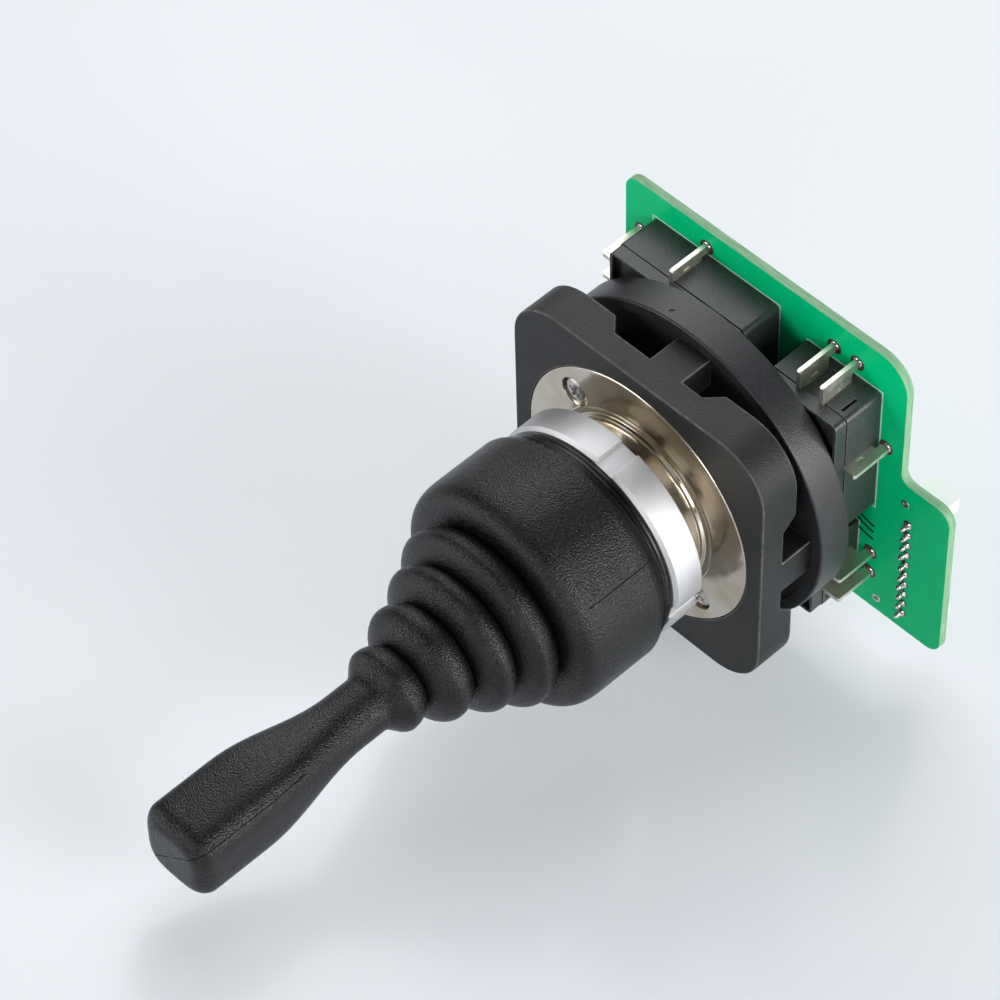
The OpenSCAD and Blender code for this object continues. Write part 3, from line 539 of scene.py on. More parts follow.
RUBBER = moulded_rubber()
BLOCK_PLASTIC = moulded_plastic(
    "block plastic", (0.008, 0.0085, 0.0095), (0.30, 0.285, 0.26),
    rough=0.40, shine=0.36, grain_mm=0.30, depth=0.13, edge=0.4)
DISC_PLASTIC = moulded_plastic(
    "disc plastic", (0.015, 0.0155, 0.0175), (0.09, 0.09, 0.09),
    rough=0.38, shine=0.42, grain_mm=0.30, depth=0.05, edge=0.25)
SWITCH_PLASTIC = moulded_plastic(
    "switch plastic", (0.026, 0.028, 0.030), (0.18, 0.18, 0.18),
    rough=0.34, shine=0.5, grain_mm=0.36, depth=0.03, edge=0.22)
NICKEL = plated_nickel()
ALUMINIUM = turned_aluminium()
SCREW_STEEL = bright_metal(
    "screw steel", (0.70, 0.68, 0.65), (0.42, 0.40, 0.37), 0.22, spot_mm=0.7)
BLADE_NICKEL = bright_metal(
    "blade nickel", (0.86, 0.83, 0.74), (0.74, 0.71, 0.60), 0.42, spot_mm=1.6, depth=0.004)
SOLDER = bright_metal(
    "solder", (0.66, 0.66, 0.67), (0.40, 0.37, 0.35), 0.16, spot_mm=0.7, depth=0.03)
PIN_TIN = bright_metal("pin tin", (0.72, 0.68, 0.55), (0.52, 0.46, 0.34), 0.25)
SPRING_STEEL = bright_metal(
    "spring steel", (0.50, 0.50, 0.52), (0.30, 0.29, 0.30), 0.30, spot_mm=1.0)
PIN_STEEL = bright_metal(
    "ground steel", (0.62, 0.62, 0.64), (0.46, 0.46, 0.47), 0.20, spot_mm=1.4, depth=0.004)
GIMBAL_STEEL = bright_metal(
    "gimbal steel", (0.55, 0.53, 0.50), (0.36, 0.34, 0.31), 0.34, spot_mm=1.1)
MASK = solder_mask()
BOARD_EDGE = board_edge_finish()
FLUX = brown_flux()
TRACK = moulded_plastic(
    "track under lacquer", (0.0, 0.045, 0.02), (0.0, 0.09, 0.04),
    rough=0.3, shine=0.1, grain_mm=0.5, depth=0.004, edge=0.05)
SILK = pale_plastic("printed white", (0.78, 0.82, 0.78), (0.66, 0.72, 0.66), 0.6)
WHITE = pale_plastic("white connector", (0.93, 0.93, 0.92), (0.89, 0.89, 0.89), 0.42, milky=0.0)
ACTUATOR_PLASTIC = pale_plastic("natural acetal", (0.72, 0.70, 0.62), (0.64, 0.62, 0.54), 0.38)
PLUNGER_PLASTIC = pale_plastic("red plunger", (0.45, 0.05, 0.035), (0.36, 0.035, 0.025), 0.35)


# ---- Sizes in mm, as in the part's source, except that GRIP_FULL is 2 mm higher ----

BLOCK_SIDE, BLOCK_CORNER, PLATE_T, SKIRT_DEPTH, SKIRT_T = 55, 9.5, 4.9, 7.6, 4
NOTCH_HALF, NOTCH_LEAN = 9.5, 2.5
FOOT_DEPTH, FOOT_FROM, FOOT_TO = 6, -5.1, 1.9
FLANGE_R, FLANGE_T, NECK_R, NECK_BORE, NECK_TOP = 24.2, 2.5, 15, 12.6, 9.8
SCREW_RING_R, SCREW_TURNS, SCREW_HOLE_R, COUNTERBORE = 19.6, (-45, 135), 1.55, 1.4
RING_R, RING_LOW, RING_HIGH, SEAT_R = 19.9, 5.3, 11.25, 18.3
BOOT_SPLIT, FOLDS_TOP = 32.2, 59.67
GRIP_LOW, GRIP_NECK, GRIP_FULL, GRIP_TOP = 59.7, 64.0, 86.0, 99.8
DISC_FLOOR, DISC_BOTTOM, DISC_R, DISC_RIM_TOP, WELL_R = -11.5, -17.45, 30.4, -10.96, 10.0
PIVOT = -15.5
BOARD_TOP, BOARD_LOW = -27.75, -29.35
SWITCH_TURNS = (-90, 180, 90, 0)
SWITCH_OUT, SWITCH_IN, SWITCH_END, SWITCH_FAR = 26.46, 10.56, 23.4, 23.4 - 27.8
COVER_SPLIT, PLUNGER_Z, PLUNGER_R = -19.95, DISC_BOTTOM - 5.15, 1.55
PEG_R, PEG_HOLE_R = 1.5, 1.55
PEG_PLACES = ((13.36, SWITCH_END - 2.8), (23.66, SWITCH_FAR + 2.8))
BLADE_T, BLADE_TOP, BLADE_FOOT, BLADE_TIP = 0.8, -19.5, -26.15, -30.55
END_BLADE_IN, BLADE_PITCH, END_BLADE_OUT = 4.96, 4.9, 3.7
SIDE_BLADE_IN, SIDE_BLADE_OUT = 11.4, 2.4
BLADE_MID, PIN_HALF = BLADE_T / 2, 0.85
PIN_PLACES = (  # x, y and how the pin is turned, on the switch of the +X side
    (SWITCH_OUT - 5.36, SWITCH_END + END_BLADE_OUT - PIN_HALF, 90),
    (SWITCH_OUT - 10.26, SWITCH_END + END_BLADE_OUT - PIN_HALF, 90),
    (SWITCH_OUT + SIDE_BLADE_OUT - PIN_HALF, SWITCH_END - 11.8, 0))
POST_PLACES = [(-33.7, 3.03 + 2.5 * i) for i in range(10)]
VIA_PLACES, VIA_R = ((-32.8, -1.5), (-28.2, 26.6)), 0.42


# ---- Mounting block ----

def screw_rods(name, radius, low, high, sides):
    """A rod at each of the two screws' places, to cut away or to add."""
    return [
        placed(rod(name, radius, low, high, sides, (SCREW_RING_R, 0)), turn=(0, 0, turn))
        for turn in SCREW_TURNS]


def make_mounting_block():
    side, inner = BLOCK_SIDE / 2, BLOCK_SIDE / 2 - SKIRT_T
    piece = block("mounting_block_moulding", (-side, -side, -SKIRT_DEPTH), (side, side, 0))
    round_edges(piece, BLOCK_CORNER, 10, upright)
    pocket = block("pocket", (-inner, -inner, -SKIRT_DEPTH - 1), (inner, inner, -PLATE_T))
    round_edges(pocket, BLOCK_CORNER - SKIRT_T, 6, upright)
    drop = SKIRT_DEPTH + 1 - PLATE_T
    lean = NOTCH_LEAN * drop / (SKIRT_DEPTH - PLATE_T)
    notch = block(
        "notch", (inner - 1, -NOTCH_HALF, -PLATE_T - drop), (side + 1, NOTCH_HALF, -PLATE_T))
    taper(notch, 1, (NOTCH_HALF + lean) / NOTCH_HALF)
    flange_seat = rod("flange_seat", FLANGE_R + 0.05, -FLANGE_T, 1, 128)
    bore = rod("bore", 14.05, -PLATE_T - 1, 0, 96)
    screw_holes = screw_rods("screw_hole", SCREW_HOLE_R, -PLATE_T - 1, 0, 32)
    carve(piece, [pocket, *four_ways(notch), flange_seat, bore, *screw_holes])
    foot = block(
        "foot", (side - FOOT_DEPTH, FOOT_FROM, DISC_FLOOR), (side, FOOT_TO, -PLATE_T + 0.6))
    carve(piece, four_ways(foot), "UNION")
    break_edges(piece, 0.28, 3, 35)
    smooth(piece, 35)
    hand_over(piece, BLOCK_PLASTIC, ["mounting_block"])


# ---- Flange with its neck, and its screws ----

def make_flange():
    edge, collar_r = FLANGE_R, 15.5
    piece = turned("flange_casting", [
        (NECK_BORE, -6.3), (NECK_BORE + 0.2, -6.5), (13.8, -6.5), (14.0, -6.3), (14.0, -FLANGE_T),
        (edge - 0.2, -FLANGE_T), (edge, -2.3), (edge, -0.28), (edge - 0.09, -0.09),
        (edge - 0.28, 0), (17.1, 0), (16.95, 0.12), (16.7, 0.12), (16.5, 0.02), (15.75, 0.02),
        (15.6, 0.1), (collar_r, 0.25), (collar_r, 0.62), (collar_r - 0.1, 0.75),
        (collar_r - 0.25, 0.8), (NECK_R + 0.05, 0.85), (NECK_R, 0.95), (NECK_R, NECK_TOP - 0.3),
        (NECK_R - 0.3, NECK_TOP), (NECK_BORE + 0.3, NECK_TOP), (NECK_BORE, NECK_TOP - 0.3)], 180)
    counterbores = screw_rods("counterbore", 2.75, -COUNTERBORE, 1, 48)
    for pair in zip(counterbores, screw_rods("hole", SCREW_HOLE_R, -4, -1, 32)):
        carve(piece, pair)
    break_edges(piece, 0.1)
    smooth(piece)
    hand_over(piece, NICKEL, ["mounting_flange"])


def make_flange_screws():
    """The two screws, each with a cross recess that narrows downwards."""
    head = turned("flange_screw_1", [
        (0, -14.4), (1.0, -14.4), (1.5, -13.9), (1.5, -COUNTERBORE), (2.4, -COUNTERBORE),
        (2.5, -1.3), (2.5, -0.85), (2.42, -0.6), (2.2, -0.36), (1.8, -0.2), (1.2, -0.12),
        (0, -0.1)], 48)
    slot = block("slot", (-1.75, -0.4, -0.95), (1.75, 0.4, 0.5))
    taper(slot, 0.45, 0.55)
    carve(head, [slot, copied(slot, "slot", turn=(0, 0, 90))])
    placed(head, turn=(0, 0, 30))
    break_edges(head, 0.06, angle=45)
    smooth(head, 35)
    for piece, turn in zip((head, copied(head, "flange_screw_2")), SCREW_TURNS):
        placed(piece, move=(SCREW_RING_R, 0, 0))
        placed(piece, turn=(0, 0, turn))
        hand_over(piece, SCREW_STEEL, ["flange_screws"])


# ---- Ring nut ----

def make_ring_nut():
    recess_half, recess_depth, first_turn = 1.75, 0.9, -101.5
    out, low, high, seat = RING_R, RING_LOW, RING_HIGH, SEAT_R + 0.05
    piece = turned("ring_nut_turning", [
        (NECK_R, low + 0.4), (NECK_R + 0.4, low), (out - 0.25, low), (out - 0.06, low + 0.06),
        (out, low + 0.25), (out, high - 0.6), (out - 0.6, high), (seat + 0.1, high),
        (seat, high - 0.1), (seat, NECK_TOP), (NECK_R, NECK_TOP)], 180)
    recess = block(
        "recess", (out - recess_depth, -recess_half, low - 1), (out + 1, recess_half, high + 1))
    placed(recess, turn=(0, 0, first_turn))
    carve(piece, four_ways(recess))
    break_edges(piece, 0.1)
    smooth(piece)
    hand_over(piece, ALUMINIUM, ["ring_nut"])


# ---- Boot and grip: one moulding, in three pieces ----

FOLD_CRESTS = [(16.5, 35.7), (13.5, 41.3), (10.5, 48.0), (7.5, 55.5)]
FOLD_GROOVES = [(14.5, BOOT_SPLIT), (11.5, 38.6), (8.5, 44.7), (5.7, 52.0), (4.9, FOLDS_TOP)]
FLANK_STEPS, FLANK_CROWDING, FOLD_ROUNDNESS = 11, 1.35, 0.55
RUN_OUT_STEPS, RUN_OUT_HOLLOW = 14, 1.15
SKIRT_SEAM, GRIP_SEAM = 213, 219  # degrees, where the mould's halves met


def flank(groove, crest):
    """Points from a groove up to a crest, round over the crest and narrow in the groove."""
    points = []
    for k in range(FLANK_STEPS + 1):
        t = (k / FLANK_STEPS) ** FLANK_CROWDING
        out = math.sin(math.pi / 2 * t) ** FOLD_ROUNDNESS
        points.append((
            groove[0] + (crest[0] - groove[0]) * out, groove[1] + (crest[1] - groove[1]) * t))
    return points


def fold_outline():
    """Outside of the folds; the last one runs out into the grip's neck in a soft hollow."""
    outside = [FOLD_GROOVES[0]]
    for low, crest, high in zip(FOLD_GROOVES, FOLD_CRESTS, FOLD_GROOVES[1:]):
        outside += flank(low, crest)[1:]
        if high is not FOLD_GROOVES[-1]:
            outside += flank(high, crest)[-2::-1]
    (crest_r, crest_z), (neck_r, neck_z) = FOLD_CRESTS[-1], FOLD_GROOVES[-1]
    for k in range(1, RUN_OUT_STEPS + 1):
        out = ((1 + math.cos(math.pi * k / RUN_OUT_STEPS)) / 2) ** RUN_OUT_HOLLOW
        outside.append((
            neck_r + (crest_r - neck_r) * out,
            crest_z + (neck_z - crest_z) * k / RUN_OUT_STEPS))
    return outside


def shoulder(wall_r, top_r, low, height, steps, squareness=2):
    """Points round a shoulder, from the top of its wall inwards to its own top."""
    angles = [math.pi / 2 * k / steps for k in range(steps + 1)]
    return [
        (top_r + (wall_r - top_r) * math.cos(a) ** (2 / squareness),
         low + height * math.sin(a) ** (2 / squareness)) for a in angles]


def mark_seam(piece, degrees, low, high, inner_r, depth, width):
    """Sinks the thin line that the mould's parting leaves down both sides of a piece."""
    side = (-math.sin(math.radians(degrees)), math.cos(math.radians(degrees)))

    def on_seam(p):
        off = p.x * side[0] + p.y * side[1]
        return abs(off) < 0.02 and low < p.z < high and math.hypot(p.x, p.y) > inner_r

    round_edges(piece, width, 2, lambda a, b: on_seam(a) and on_seam(b))
    pick_points(piece, on_seam)
    bpy.ops.transform.shrink_fatten(value=-depth * MM)
    close_mesh(piece)


def make_boot_skirt():
    """The skirt: a hem with two grooves on the ring nut, a straight wall, a square shoulder."""
    wall_r, top_r, inner_r, inner_top_r = 21, 14.5, 19.2, 13.3
    wall_top, shoulder_h = 25.2, BOOT_SPLIT - 25.2
    hem = [  # radius, and height above the ring nut
        (SEAT_R, 0), (18.6, 0.03), (18.84, 0.15), (18.9, 0.4), (18.86, 0.7), (18.45, 0.78),
        (18.45, 0.98), (19.2, 1.06), (19.5, 1.2), (19.62, 1.5), (19.66, 1.9), (19.3, 1.98),
        (19.3, 2.16), (19.95, 2.24)]
    outside = [(NECK_BORE, NECK_TOP), (SEAT_R, NECK_TOP)]
    outside += [(r, RING_HIGH + z) for r, z in hem]
    outside += [(20.12, 13.8), (20.3, 14.35), (20.62, 15.05), (20.86, 15.4)]
    outside += [(wall_r, z) for z in (15.9, 17.5, 19, 21, 23)]
    outside += shoulder(wall_r, top_r, wall_top, shoulder_h, 20, squareness=3.6)
    inside = [(NECK_BORE, 11.2), (16.8, 11.2), (16.8, 12.3)]
    inside += [(inner_r, z) for z in (15.65, 18, 21)]
    inside += shoulder(inner_r, inner_top_r, wall_top, shoulder_h - 1.2, 8)
    inside.append((inner_top_r, BOOT_SPLIT))
    piece = turned("boot_lower", outside + inside[::-1])
    mark_seam(piece, SKIRT_SEAM, 14.3, 28.5, 19.5, depth=0.16, width=0.1)
    smooth(piece, 42)
    hand_over_bending(
        piece, RUBBER, "boot_skirt")


def make_boot_folds():
    wall, bore_r, narrow_r, narrow_above = 1.2, 4.05, 3.05, 56.9
    outside = fold_outline()
    inside = [
        (max(r - wall, bore_r if z < narrow_above else narrow_r), z) for r, z in outside[::2]]
    inside[-1] = (3.7, FOLDS_TOP)
    piece = turned("boot_folds", outside + inside[::-1])
    smooth(piece, 60)
    hand_over_bending(
        piece, RUBBER, "bellows")


def make_grip():
    """The grip: a round neck that grows into a square handle with rounded corners."""
    neck_r, half, edge_r, square, steps = 4.9, 7.1, 3.0, 3.4, 14
    flare = GRIP_FULL - GRIP_NECK

    def ease(t):
        return (1 - math.cos(math.pi * t)) / 2

    outline = [(0, GRIP_LOW), (neck_r, GRIP_LOW), (neck_r, 61), (neck_r, 62.5)]
    for k in range(steps + 1):
        outline.append((neck_r + (half - neck_r) * ease(k / steps), GRIP_NECK + flare * k / steps))
    outline += [(half, z) for z in (87, 90, 93, 95.5)]
    outline += shoulder(half, half - edge_r, GRIP_TOP - edge_r, edge_r, 9)
    outline += [(r, GRIP_TOP) for r in (2.7, 1.2, 0)]
    piece = turned("grip_moulding", outline)
    for vert in open_mesh(piece).verts:
        x, y, z = vert.co / MM
        n = 2 + (square - 2) * ease(min(max((z - GRIP_NECK) / flare, 0), 1))
        r = math.hypot(x, y)
        if r > TINY:
            out = 1 / (abs(x / r) ** n + abs(y / r) ** n) ** (1 / n)
            vert.co.x *= out
            vert.co.y *= out
    close_mesh(piece)
    carve(piece, [rod("lever_bore", 3.0, GRIP_LOW - 1, 91.8)])
    mark_seam(piece, GRIP_SEAM, 78, GRIP_TOP + 1, 1.0, depth=0.5, width=0.2)
    smooth(piece, 50)
    hand_over(piece, RUBBER, ["grip"], "lever")


# ---- Base disc ----

def lying_rod(name, radius, low, high, sides, z):
    """A round rod that lies along X at a height."""
    return placed(placed(rod(name, radius, low, high, sides), turn=(0, 90, 0)), move=(0, 0, z))


def make_base_disc():
    out, low, top, rim_in = DISC_R, DISC_BOTTOM, DISC_RIM_TOP, 28.2
    piece = turned("base_disc_moulding", [
        (WELL_R, low + 0.2), (WELL_R + 0.2, low), (out - 0.5, low), (out - 0.15, low + 0.15),
        (out, low + 0.5), (out, top - 0.5), (out - 0.06, top - 0.22), (out - 0.2, top - 0.07),
        (out - 0.45, top), (28.4, top), (rim_in, top - 0.15), (rim_in, DISC_FLOOR),
        (WELL_R + 0.2, DISC_FLOOR), (WELL_R, DISC_FLOOR - 0.2)], 180)
    carve(piece, screw_rods("boss", 3.4, low + 1, -PLATE_T, 48), "UNION")
    holes = screw_rods("thread", SCREW_HOLE_R, low + 1, 0, 32)
    for turn in (0, 180):
        holes.append(placed(lying_rod("bearing", 1.28, 9, 13.2, 32, PIVOT), turn=(0, 0, turn)))
    gate = lying_rod("gate", 0.55, out - 0.18, out + 1, 24, -12.7)
    holes.append(placed(gate, turn=(0, 0, 279)))
    carve(piece, holes)
    pegs = []
    for turn in SWITCH_TURNS:
        for place in PEG_PLACES:
            peg = rod("peg", PEG_R, low - 4, low + 0.5, 32, place)
            round_edges(peg, 0.3, 2, lambda a, b: max(a.z, b.z) < low - 3.9)
            pegs.append(placed(peg, turn=(0, 0, turn)))
    piece = joined("base_disc_moulding", [piece] + pegs)
    smooth(piece)
    hand_over(piece, DISC_PLASTIC, ["base_disc"])


# ---- Switches: one is modelled on the +X side and copied round the axis ----

def switch_tools():
    """What cuts both halves of a switch: its two peg holes and its three blades' seats."""
    root = 2
    tools = [
        rod("hole", PEG_HOLE_R, BOARD_TOP - 1, DISC_BOTTOM + 1, 32, place) for place in PEG_PLACES]
    for k in (0, 1):
        x = SWITCH_OUT - END_BLADE_IN - k * BLADE_PITCH
        tools.append(block(
            "seat", (x - BLADE_T, SWITCH_END - root, BLADE_FOOT), (x, SWITCH_END + 1, BLADE_TOP)))
    y = SWITCH_END - SIDE_BLADE_IN
    tools.append(block(
        "seat", (SWITCH_OUT - root, y - BLADE_T, BLADE_FOOT), (SWITCH_OUT + 1, y, BLADE_TOP)))
    return tools


def switch_half(name, low, high, corner):
    """A half of a switch as a block between two corners, rounded on its outer side."""
    half = block(name, low, high)
    return round_edges(half, corner, 5, lambda a, b: upright(a, b) and a.x > SWITCH_OUT - 1)


def make_switch_case():
    """The lower part, with the plunger's bore, a thin slot and a recess between the blades."""
    case = switch_half(
        "switch_case_1", (SWITCH_IN, SWITCH_FAR, BOARD_TOP),
        (SWITCH_OUT, SWITCH_END, COVER_SPLIT), 1.2)
    slot_x, slot_w = SWITCH_OUT - 2.3, 0.6
    recess_x, recess_w, recess_depth = SWITCH_OUT - END_BLADE_IN - BLADE_PITCH, 4.2, 0.8
    carve(case, switch_tools() + [
        lying_rod("bore", PLUNGER_R, SWITCH_IN - 1, SWITCH_IN + 4.49, 32, PLUNGER_Z),
        block("slot", (slot_x, SWITCH_END - 1, PLUNGER_Z - 1.5),
              (slot_x + slot_w, SWITCH_END + 1, PLUNGER_Z + 1.9)),
        block("recess", (recess_x - 0.1, SWITCH_END - recess_depth, BOARD_TOP + 1.8),
              (recess_x + recess_w, SWITCH_END + 1, COVER_SPLIT + 1))])
    break_edges(case, 0.14)
    return smooth(case)


def make_switch_cover():
    """The cover, with the fine gap that is left round its joint with the case."""
    inset, gap, lip, pocket_w, pocket_l = 0.15, 0.13, 0.7, 7, 9
    cover = switch_half(
        "switch_cover_1", (SWITCH_IN + inset, SWITCH_FAR + inset, COVER_SPLIT + gap),
        (SWITCH_OUT - inset, SWITCH_END - inset, DISC_BOTTOM), 1.1)
    carve(cover, [block(
        "lip", (SWITCH_IN + lip, SWITCH_FAR + lip, COVER_SPLIT),
        (SWITCH_OUT - lip, SWITCH_END - lip, COVER_SPLIT + 1))], "UNION")
    carve(cover, switch_tools() + [block(
        "pocket", (SWITCH_OUT - lip - pocket_w, SWITCH_END - lip - pocket_l, DISC_BOTTOM - 1.2),
        (SWITCH_OUT - lip, SWITCH_END - lip, DISC_BOTTOM + 1))])
    break_edges(cover, 0.14)
    return smooth(cover)


def make_blade(out):
    """A blade that stands out along +X from its switch wall, with its solder pin."""
    pin_in = out - 2 * PIN_HALF
    piece = plate("blade", [
        (-2, BLADE_TOP), (out - 0.3, BLADE_TOP), (out, BLADE_TOP - 0.3), (out, BLADE_TIP + 0.2),
        (out - 0.2, BLADE_TIP), (pin_in + 0.2, BLADE_TIP), (pin_in, BLADE_TIP + 0.2),
        (pin_in, BLADE_FOOT - 0.25), (pin_in - 0.25, BLADE_FOOT), (-2, BLADE_FOOT)],
        -BLADE_MID, BLADE_T)
    carve(piece, [block("hole", (0.3, -23.5, -1), (0.9, -22.1, 1))])
    break_edges(piece, 0.08)
    smooth(piece)
    return placed(piece, turn=(90, 0, 0))


def make_terminals():
    """The three blades of the first switch, on the +X side."""
    end = placed(make_blade(END_BLADE_OUT), turn=(0, 0, 90))
    first_x = SWITCH_OUT - END_BLADE_IN - BLADE_MID
    blades = [
        copied(end, "blade", move=(first_x - k * BLADE_PITCH, SWITCH_END, 0)) for k in (0, 1)]
    bpy.data.objects.remove(end)
    side_y = SWITCH_END - SIDE_BLADE_IN - BLADE_MID
    blades.append(placed(make_blade(SIDE_BLADE_OUT), move=(SWITCH_OUT, side_y, 0)))
    return joined("switch_blades_1", blades)


def make_switches():
    parts = (
        (make_switch_case(), "switch_case", "case", SWITCH_PLASTIC, "switch_case_plastic"),
        (make_switch_cover(), "switch_cover", "cover", SWITCH_PLASTIC, "switch_cover_plastic"),
        (make_terminals(), "switch_blades", "terminals", BLADE_NICKEL, "terminal_nickel"))
    for first, name, node, finish, slot in parts:
        pieces = [first] + [copied(first, f"{name}_{i}") for i in (2, 3, 4)]
        for i, (piece, turn) in enumerate(zip(pieces, SWITCH_TURNS), 1):
            placed(piece, turn=(0, 0, turn))
            hand_over(piece, finish, [f"switch_{i}_{node}"])


# ---- Circuit board ----

def pin_holes():
    """Where each blade's pin goes through the board, and how the pin is turned."""
    holes = []
    for turn in SWITCH_TURNS:
        cos, sin = math.cos(math.radians(turn)), math.sin(math.radians(turn))
        for x, y, lie in PIN_PLACES:
            holes.append((x * cos - y * sin, x * sin + y * cos, turn + lie))
    return holes


def above_board(outline):
    """An outline of radius and height above the board, put at the board's height."""
    return [(r, BOARD_TOP + z) for r, z in outline]


def make_board():
    """The board: square, with a tongue for the connector along one side."""
    far, near, low, high, tongue_x, tongue_y = 29.8, -31.6, -31.9, 29.6, -42.1, -6
    r, inner_r, wide_r = 3, 2, 6
    outline = (
        arc(far - r, low + r, r, -90, 0, 8) + arc(far - r, high - r, r, 0, 90, 8)
        + arc(tongue_x + r, high - r, r, 90, 180, 8)
        + arc(tongue_x + r, tongue_y + r, r, 180, 270, 8)
        + arc(near - inner_r, tongue_y - inner_r, inner_r, 90, 0, 8)
        + arc(near + wide_r, low + wide_r, wide_r, 180, 270, 12))
    piece = plate("board_laminate", outline, BOARD_LOW, BOARD_TOP - BOARD_LOW)
    drills = [
        rod("drill", drill_r, BOARD_LOW - 1, BOARD_TOP + 1, sides, place[:2])
        for drill_r, sides, places in (
            (1.05, 32, pin_holes()), (0.5, 16, POST_PLACES), (VIA_R, 20, VIA_PLACES))
        for place in places]
    carve(piece, [joined("drills", drills)])
    break_edges(piece, 0.1, angle=60)
    two_finishes(piece, MASK, BOARD_EDGE, lambda c, n: abs(n.z) < 0.5)
    smooth(piece)
    hand_over(piece, None, ["circuit_board"])


def make_joints():
    """Solder round each blade's pin, inside a rim that the flux has browned."""
    below = [
        (1.03, 0), (1.45, 0), (1.4, 0.08), (1.15, 0.3), (0.98, 0.6), (0.9, 0.78), (0, 0.8)]
    joint = turned("joint", above_board([
        (0, 0.3), (0.86, 0.3), (0.95, 0.14), (1.03, 0.08), (1.12, 0.13), (1.28, 0.15),
        (1.4, 0.1), (1.45, 0), (1.03, 0)]) + [(r, BOARD_LOW - z) for r, z in below], 32)
    carve(joint, [block("pin", (-PIN_HALF, -BLADE_MID, -32), (PIN_HALF, BLADE_MID, -26))])
    smooth(joint, 45)
    two_finishes(
        joint, SOLDER, FLUX,
        lambda c, n: math.hypot(c.x, c.y) > 1.06 and c.z > BOARD_TOP - 0.01)
    joints = [
        copied(joint, "joint", move=(x, y, 0), turn=(0, 0, turn)) for x, y, turn in pin_holes()]
    bpy.data.objects.remove(joint)
    hand_over(joined("blade_joints", joints), None, ["terminal_solder"])


def make_post_joints():
    """The row of tall solder cones over the connector's pins, each leaning its own way."""
    cone = turned("cone", above_board([
        (0, 0), (0.95, 0), (0.94, 0.05), (0.8, 0.12), (0.64, 0.32), (0.54, 0.7), (0.46, 1.1),
        (0.36, 1.42), (0.2, 1.6), (0, 1.64)]), 28)
    smooth(cone, 60)
    two_finishes(cone, SOLDER, FLUX, lambda c, n: c.z < BOARD_TOP + 0.1)
    cones = []
    for i, place in enumerate(POST_PLACES):
        leaning = copied(cone, "cone", turn=(0, 0, 77 * i))
        pick_points(leaning, lambda p: p.z > BOARD_TOP + 0.6)
        lean_x, lean_y = 0.12 * math.cos(2.1 * i), 0.16 * math.sin(1.3 * i + 1)
        bpy.ops.transform.translate(value=(lean_x * MM, lean_y * MM, 0))
        close_mesh(leaning)
        cones.append(placed(leaning, move=(*place, 0)))
    bpy.data.objects.remove(cone)
    hand_over(joined("connector_joints", cones), None, ["header_solder"])


def make_via_rings():
    """Tinned rings round the two plain holes beside the connector."""
    outline = above_board([
        (VIA_R, 0), (VIA_R, 0.06), (0.5, 0.1), (0.72, 0.1), (0.82, 0.05), (0.84, 0)])
    piece = joined("board_via_rings", [
        placed(turned("ring", outline, 28), move=(*place, 0)) for place in VIA_PLACES])
    hand_over(smooth(piece), SOLDER)


def make_tracks():
    """Copper tracks that show darkly through the lacquer between switch and connector."""
    x, y, half, thickness = -27, 3.3, 0.28, 0.035
    tracks = []
    for r, start in ((6.0, 42), (7.5, 55), (9.3, 68)):
        outline = arc(x, y, r + half, start, 88, 12) + arc(x, y, r - half, 88, start, 12)
        track = plate("track", outline, BOARD_TOP, thickness)
        round_edges(track, 0.025, 2, lambda a, b: min(a.z, b.z) > BOARD_TOP + 0.03)
        tracks.append(track)
    hand_over(smooth(joined("board_tracks", tracks)), TRACK)


def make_print():
    """The printed white outline round each switch."""
    x0, x1 = SWITCH_IN - 0.2, SWITCH_OUT + 0.25
    y0, y1 = SWITCH_FAR - 0.2, SWITCH_END + 0.25
    line, thickness = 0.2, 0.03
    bars = (
        ((x0, y0), (x1, y0 + line)), ((x0, y1 - line), (x1, y1)),
        ((x0, y0 + line), (x0 + line, y1 - line)), ((x1 - line, y0 + line), (x1, y1 - line)))
    frames = []
    for turn in SWITCH_TURNS:
        for low, high in bars:
            bar = block("line", (*low, BOARD_TOP), (*high, BOARD_TOP + thickness))
            round_edges(bar, 0.02, 1, lambda a, b: min(a.z, b.z) > BOARD_TOP + 0.02)
            frames.append(placed(bar, turn=(0, 0, turn)))
    hand_over(joined("board_print", frames), SILK)


# ---- Connector ----

def make_connector():
    """The white housing: a low body with a socket that opens downwards, between two ears."""
    x0, x1, y0, y1, ear_w, wall = -37.75, -31.25, -0.77, 29.33, 2.8, 1.6
    middle, body_low, ear_low = (y0 + y1) / 2, BOARD_LOW - 4, BOARD_LOW - 6.4
    socket_half, key_half, pin_half, floor = 12.15, 0.9, 0.32, body_low + 3
    piece = block(
        "connector_housing", (x0 + 0.5, y0 + 0.5, body_low), (x1 - 0.5, y1 - 0.5, BOARD_LOW))
    ears = []
    for low in (y0, y1 - ear_w):
        ear = block("ear", (x0, low, ear_low), (x1, low + ear_w, BOARD_LOW))
        round_edges(
            ear, 0.9, 5, lambda a, b: max(a.z, b.z) < ear_low + 0.1 and abs(a.x - b.x) < TINY)
        ears.append(ear)
    carve(piece, ears, "UNION")
    socket = block(
        "socket", (x0 + wall, middle - socket_half, body_low - 1),
        (x1 - wall, middle + socket_half, floor))
    tools = [
        block("key", (x0 - 1, y - key_half, body_low - 1), (x0 + wall + 0.1, y + key_half, floor))
        for y in (middle - 6, middle + 6)]
    tools += [
        block("pin_hole", (x - pin_half, y - pin_half, body_low),
              (x + pin_half, y + pin_half, BOARD_LOW + 1))
        for x, y in POST_PLACES]
    carve(piece, [joined("tools", tools), socket])
    break_edges(piece, 0.14)
    smooth(piece)
    hand_over(piece, WHITE, ["header_housing"])
